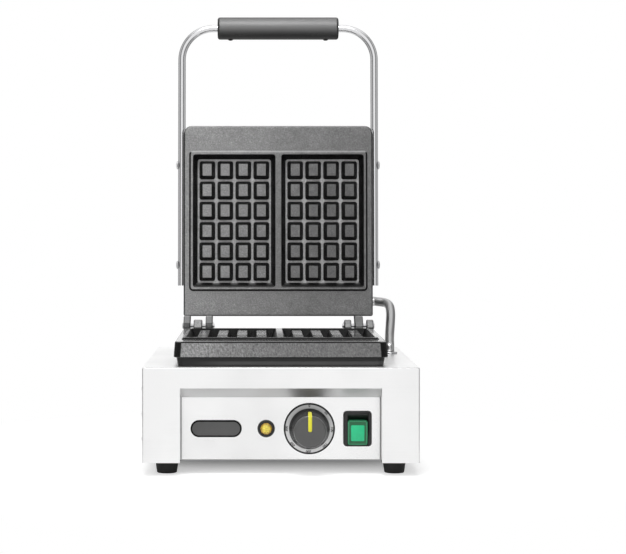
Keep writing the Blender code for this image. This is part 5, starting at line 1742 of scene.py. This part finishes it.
@dataclass
class PilotLamp(Assembly):
    """The round indicator: a black bezel and a cut amber lens.

    The crown steps give the shares of the lens's radius and crown and a share of a facet.
    """

    flange: float = 0.00965
    flange_side: float = 0.0008
    rise: float = 0.0022
    barrel: float = 0.0062
    length: float = 0.024
    bevel: Flat = (0.0005, 0.0011)
    lip: float = 0.0004
    soft: float = 0.0003
    bed: float = 0.0014
    lens: float = 0.0066
    lens_gap: float = 0.0003
    lens_foot: float = 0.0011
    crown: float = 0.0024
    crown_steps: Sequence[Triple] = (
        (1.0, 0.0, 0.0), (0.86, 0.48, 0.5), (0.64, 0.76, 0.0), (0.40, 0.92, 0.5),
        (0.17, 1.0, 0.0),
    )
    facets: int = 10
    glow_radii: Flat = (0.0030, 0.0060)

    def make(self) -> None:
        """Build the lamp."""
        place = middle_of("pilot_bezel", Side.FRONT) + Vector((0.0, self.rise, 0.0))
        seat, rise, soft = self.lens + self.lens_gap, self.rise, self.soft
        profile = [
            (0.0, -self.length), (self.barrel, -self.length), (self.barrel, 0.0),
            (self.flange, 0.0), (self.flange, self.flange_side),
            (self.flange - self.bevel[0], rise - soft), (self.flange - self.bevel[1], rise),
            (seat + self.lip, rise), (seat, rise - soft), (seat, rise - self.bed),
            (0.0, rise - self.bed),
        ]
        blank = Blank(facing_front(place)).lathe(profile, 64)
        self.bench.piece("lamp_bezel", blank, BLACK, Body.BASE, ("pilot_bezel",), 40.0)
        amber = Zoned(
            "amber_lens", "amber_lens", tone(232, 210, 74), 0.14, middle=(place.x, place.z),
            outer=tone(176, 138, 50), fade=self.glow_radii, glow=0.25, coat=1.0, sparkle=0.45,
        )
        rings = [raised(circle(self.lens, self.facets), rise - self.lens_foot)]
        for share, rise_share, turn in self.crown_steps:
            outline = circle(self.lens * share, self.facets, turn)
            rings.append(raised(outline, rise + rise_share * self.crown))
        blank = Blank(facing_front(place)).loft(rings)
        bmesh.ops.triangulate(blank.mesh, faces=blank.mesh.faces[:])
        self.bench.piece("lamp_lens", blank, amber, Body.BASE, ("pilot_lens",), 5.0)


@dataclass
class RockerSwitch(Assembly):
    """The rocker switch: a black housing, a green rocker and its bright window.

    The window steps give shares of its length and of its width.
    """

    pivot: Flat = (-0.14776, 0.0467)
    lean: float = math.radians(6.0)
    ridge: float = 0.0085
    fall: float = 0.105
    highlight_border: float = 0.0016
    highlight_blur: float = 0.0003
    edge: float = 0.0008
    corner: float = 0.0022
    window: Flat = (0.0074, 0.0089)
    window_steps: Sequence[Flat] = (
        (-1.0, 0.86), (-0.96, 0.95), (-0.9, 1.0), (0.0, 1.0), (0.9, 1.0), (0.96, 0.95),
        (1.0, 0.86),
    )
    window_edge: float = 0.0003
    window_side: float = 0.0002
    window_back: float = 0.001
    proud: float = 0.0003

    def make(self) -> None:
        """Build the switch."""
        self.bench.refined("switch_housing", "switch_frame", BLACK, Body.BASE)
        low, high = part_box("switch_rocker")
        place = (low + high) / 2
        half = ((high.x - low.x) / 2 - self.highlight_border, (high.z - low.z) / 2 - self.highlight_border)
        # The paler outer green is a painted highlight along the rocker's chamfered border.
        green = Zoned(
            "rocker_green", "green_lens", tone(34, 96, 62), 0.30, zone=Zone.BOX,
            middle=(place.x, place.z), half=half, outer=tone(56, 140, 98),
            fade=(-self.highlight_blur, self.highlight_blur), glow=0.06,
        )
        self.bench.refined(
            "switch_rocker", "rocker_body", green, Body.ROCKER, self.edge, self.corner
        )
        rings = []
        for share, narrow in self.window_steps:
            z, x = share * self.window[1], self.window[0] * narrow
            front = -self.ridge + abs(z) * self.fall - self.proud
            side, back = front + self.window_side, front + self.window_back
            section = [(x, back), (x, side), (x - self.window_edge, front)]
            section += [(-across, y) for across, y in reversed(section)]
            rings.append([(across, y, z) for across, y in section])
        pivot = Vector((place.x, *self.pivot))
        blank = Blank(Matrix.Translation(pivot) @ Matrix.Rotation(self.lean, 4, "X")).loft(rings)
        self.bench.piece("rocker_window", blank, GREEN_WINDOW, Body.ROCKER)


@dataclass
class BadgePlate(Assembly):
    """The pill-shaped badge plate, left bare, with its rolled rim."""

    half: Flat = (0.0284, 0.0094)
    thickness: float = 0.0012
    rim: float = 0.0019
    rim_edge: float = 0.0003
    rim_drop: float = 0.0004
    rim_foot: float = 0.0002
    end_flat: float = 0.00001

    def pill(self, inset: float) -> list[Flat]:
        """Return the outline of the pill, smaller by an inset all round."""
        half = (self.half[0] - inset, self.half[1] - inset)
        return rounded(half, half[1] - self.end_flat, 14)

    def make(self) -> None:
        """Build the plate and its rim."""
        frame = facing_front(middle_of("badge_plate", Side.BACK))
        top, edge = self.thickness, self.rim_edge
        blank = Blank(frame).slab(self.pill(0.0), 0.0, top - edge)
        self.bench.piece("badge_face", blank, BADGE, Body.BASE, ("badge_plate",))
        rings = [raised(self.pill(inset), height) for inset, height in (
            (0.0, self.rim_foot), (0.0, top - edge), (edge, top), (self.rim - edge, top),
            (self.rim, top - self.rim_drop), (self.rim, self.rim_foot),
        )]
        blank = Blank(frame).loft(rings, closed=True)
        self.bench.piece("badge_edge", blank, BADGE_RIM_SHADE, Body.BASE)


@dataclass
class Conduit(Assembly):
    """The sleeve that carries the upper wiring, and its two ferrules.

    The knots are shares of its run, of its rise and of its bulge to the right.
    """

    radius: float = 0.0057
    bulge: float = 0.0065
    knot_shares: Sequence[Triple] = ((0.30, 0.36, 0.35), (0.72, 0.79, 1.0), (0.93, 0.955, 0.55))
    steps: int = 72
    foot_sunk: float = 0.0045
    hood_sunk: float = 0.0042
    bend_start: float = 0.004
    ferrule: float = 0.0092
    ferrule_rise: float = 0.0018
    ferrule_gap: float = 0.0002
    ferrule_edge: float = 0.0005
    ferrule_side_share: float = 1.6

    def route(self, foot: Vector, hood: Vector) -> list[Vector]:
        """Return the sleeve's centre line.

        Args:
            foot: Where it leaves the casing's top.
            hood: Where it enters the hood's side.

        Returns:
            The points from inside the base to inside the hood.
        """
        up, right = Vector(UP), Vector(RIGHT)
        run, rise = hood.y - foot.y, hood.z - foot.z
        lead = self.ferrule_rise + self.radius / 3
        knots = [foot + up * lead, foot + up * (lead + self.radius)]
        for run_share, rise_share, bulge_share in self.knot_shares:
            way = Vector((self.bulge * bulge_share, run * run_share, rise * rise_share))
            knots.append(foot + way)
        knots += [hood + right * (lead + self.radius / 2), hood + right * lead]
        start = [foot - up * self.foot_sunk, foot + up * self.ferrule_rise]
        end = [hood + right * self.ferrule_rise, hood - right * self.hood_sunk]
        return [*start, *smooth(knots, self.steps), *end]

    def make(self) -> None:
        """Build the sleeve and the ferrules."""
        foot = middle_of("conduit_ferrule_base", Side.BOTTOM)
        hood = middle_of("conduit_ferrule_hood", Side.LEFT)
        blank = Blank().tube(self.route(foot, hood), self.radius, 28)
        sleeve = self.bench.piece("conduit_sleeve", blank, SLEEVE, None, ("conduit",), 60.0)
        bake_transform(sleeve)
        bore, edge = self.radius + self.ferrule_gap, self.ferrule_edge
        wide, top = self.ferrule, self.ferrule_rise
        profile = [
            (bore, 0.0), (wide, 0.0), (wide, top - edge * self.ferrule_side_share),
            (wide - edge, top), (bore + edge, top), (bore, top - edge),
        ]
        for name, frame, body, node in (
            ("ferrule_casing", Matrix.Translation(foot), Body.BASE, "conduit_ferrule_base"),
            ("ferrule_lid", facing_side(hood, 1), Body.LID, "conduit_ferrule_hood"),
        ):
            blank = Blank(frame).lathe(profile, 48, closed=True)
            self.bench.piece(name, blank, ZINC, body, (node,))


# Studio


@dataclass(frozen=True)
class Lamp:
    """A soft square lamp: its power is in watts, and only a mirrored one shows in metal."""

    name: str
    place: Triple
    aim: Triple
    size: float
    power: float
    mirrored: bool = False

    def hang(self) -> None:
        """Put the lamp into the scene."""
        data = bpy.data.lights.new(self.name, "AREA")
        data.size, data.energy = self.size, self.power
        lamp = linked(self.name, data)
        lamp.location = self.place
        lamp.visible_glossy = self.mirrored
        lamp.rotation_mode = "QUATERNION"
        way = Vector(self.aim) - Vector(self.place)
        lamp.rotation_quaternion = way.to_track_quat("-Z", "Y")


@dataclass
class Studio:
    """The floor, the light and the camera."""

    camera_place: Triple = (-0.02415, -2.13696, 0.283)
    focal_pixels: float = 1790.0
    picture_pixels: Flat = (626.0, 554.0)
    middle_pixels: Flat = (259.0, 219.0)
    sensor: float = 36.0
    clip: Flat = (0.05, 50.0)
    floor_radius: float = 3.0
    floor_colour: Colour = (0.80, 0.80, 0.80)
    floor_fade: Flat = (0.30, 0.52)
    floor_lift: Flat = (0.50, 0.10)
    shadow: float = 0.68
    shadow_across: Flat = (0.150, 0.120)
    shadow_along: Flat = (-0.135, -0.03)
    ambient: float = 0.42
    dim: float = 0.25
    side_wall: float = 0.45
    ceiling: Flat = (0.55, 0.85)
    lamps: Sequence[Lamp] = (
        Lamp("key_light", (-0.05, -0.75, 1.65), (0.0, 0.0, 0.3), 0.9, 14.0, True),
        Lamp("left_light", (-1.0, -1.4, 0.8), (0.0, 0.0, 0.22), 1.6, 13.5),
        Lamp("fill_light", (1.6, -1.8, 0.9), (0.0, 0.0, 0.2), 1.2, 4.0),
    )

    def make_camera(self) -> None:
        """Set the camera at the photograph's angle."""
        width, height = self.picture_pixels
        data = bpy.data.cameras.new("camera")
        data.sensor_width, data.sensor_fit = self.sensor, "HORIZONTAL"
        data.lens = self.focal_pixels * self.sensor / width
        data.shift_x = (width / 2 - self.middle_pixels[0]) / width
        data.shift_y = -(height / 2 - self.middle_pixels[1]) / width
        data.clip_start, data.clip_end = self.clip
        camera = linked("camera", data)
        camera.location = self.camera_place
        camera.rotation_euler = (math.radians(90.0), 0.0, 0.0)
        bpy.context.scene.camera = camera

    def emptied(self, owner: bpy.types.Material | bpy.types.World) -> Graph:
        """Return the empty graph of a new material or world.

        Args:
            owner: The material or world.

        Returns:
            Its graph.
        """
        owner.use_nodes = True
        owner.node_tree.nodes.clear()
        return Graph(owner.node_tree)

    def rays(self, graph: Graph) -> tuple[Wire, Wire]:
        """Return the shares of rays that show the background, and of those that metal mirrors.

        Args:
            graph: The graph of the floor or the world.

        Returns:
            The wire of camera and see-through rays, and the wire of mirrored rays.
        """
        ray = graph.add("ShaderNodeLightPath")
        outputs = ray.socket.node.outputs
        shown = ray.most(Wire(graph, outputs["Is Transmission Ray"]))
        return shown, Wire(graph, outputs["Is Glossy Ray"])

    def walls(self, x: Wire, y: Wire) -> Wire:
        """Return how bright the room is that way, seen in metal: white ends, dim corners.

        Args:
            x: How far the way leads to the right.
            y: How far it leads to the back.

        Returns:
            The wire of the brightness.
        """
        level = (x * x + y * y + 0.0001) ** 0.5
        front = (y / level).step(-0.80, -0.93)
        back = (y / level).step(0.88, 0.97)
        sides = (abs(x) / level).step(0.86, 0.97) * self.side_wall
        return self.dim + (1.0 - self.dim) * front.most(back).most(sides)

    def make_floor(self) -> None:
        """Lay the pale floor, which is white to the camera but for the object's shadow, deepened
        under the casing by a painted shadow.
        """
        material = bpy.data.materials.new("floor_paper")
        graph = self.emptied(material)
        shown, gloss = self.rays(graph)
        place = graph.place()
        x, y, _ = graph.axes(place)
        paper = graph.joined(*self.floor_colour) * (0.99 + 0.02 * graph.noise(place, 300, 2))
        matt = graph.add("ShaderNodeBsdfDiffuse", None, {"Color": paper})
        # Painted shadow: the floor's lift is cut in a fixed patch under the casing.
        under_shade = y.step(*self.shadow_along) * abs(x).step(*self.shadow_across)
        lift = shown * self.floor_lift[0] + gloss * self.floor_lift[1]
        lift = lift * (1.0 - under_shade * self.shadow)
        pale = graph.add("ShaderNodeEmission", None, {"Color": WHITE, "Strength": lift})
        near = graph.add("ShaderNodeAddShader", None, {0: matt, 1: pale})
        bright = shown + gloss * 0.9 * self.walls(x, y)
        far = graph.add("ShaderNodeEmission", None, {"Color": WHITE, "Strength": bright})
        share = ((x * x + y * y) ** 0.5).step(*self.floor_fade)
        surface = graph.add("ShaderNodeMixShader", None, {0: share, 1: near, 2: far})
        graph.add("ShaderNodeOutputMaterial", None, {"Surface": surface})
        blank = Blank()
        ring = raised(circle(self.floor_radius, 96), 0.0)
        blank.mesh.faces.new([blank.mesh.verts.new(point) for point in ring])
        floor = blank.object("floor")
        floor.data.materials.append(material)

    def make_world(self) -> None:
        """Light the room evenly, and show it white to the camera and to shiny metal."""
        world = bpy.data.worlds.new("room")
        bpy.context.scene.world = world
        graph = self.emptied(world)
        shown, gloss = self.rays(graph)
        x, y, z = graph.axes(graph.add("ShaderNodeTexCoord"))
        mirrored = self.walls(x, y).most(z.step(*self.ceiling))
        lit = self.ambient + gloss * (mirrored - self.ambient)
        strength = lit + shown * (1.0 - lit)
        light = graph.add("ShaderNodeBackground", None, {"Color": WHITE, "Strength": strength})
        graph.add("ShaderNodeOutputWorld", None, {"Surface": light})

    def make(self) -> None:
        """Set up the whole studio."""
        bpy.context.scene.view_settings.view_transform = "Standard"
        self.make_camera()
        self.make_floor()
        self.make_world()
        for lamp in self.lamps:
            lamp.hang()


def main() -> None:
    """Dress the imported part, piece by piece, and set up the studio."""
    logging.basicConfig(level=logging.INFO, format="%(name)s: %(message)s")
    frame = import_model()
    bench = Bench(frame)
    low, lid = Hinge().lower(), Hinge().upper()
    assemblies = (
        Casing(bench), Tray(bench),
        WafflePlate(bench, low, "cast_plate_lower", "lower_plate", LOWER_IRON, Body.BASE, False),
        WafflePlate(bench, lid, "cast_plate_upper", "upper_plate", UPPER_IRON, Body.LID, True),
        Hood(bench, lid), Handle(bench, lid), Knob(bench), PilotLamp(bench),
        RockerSwitch(bench), BadgePlate(bench), Conduit(bench), Studio(),
    )
    for assembly in assemblies:
        LOG.info("making %s", type(assembly).__name__)
        assembly.make()


if __name__ == "__main__":
    main()
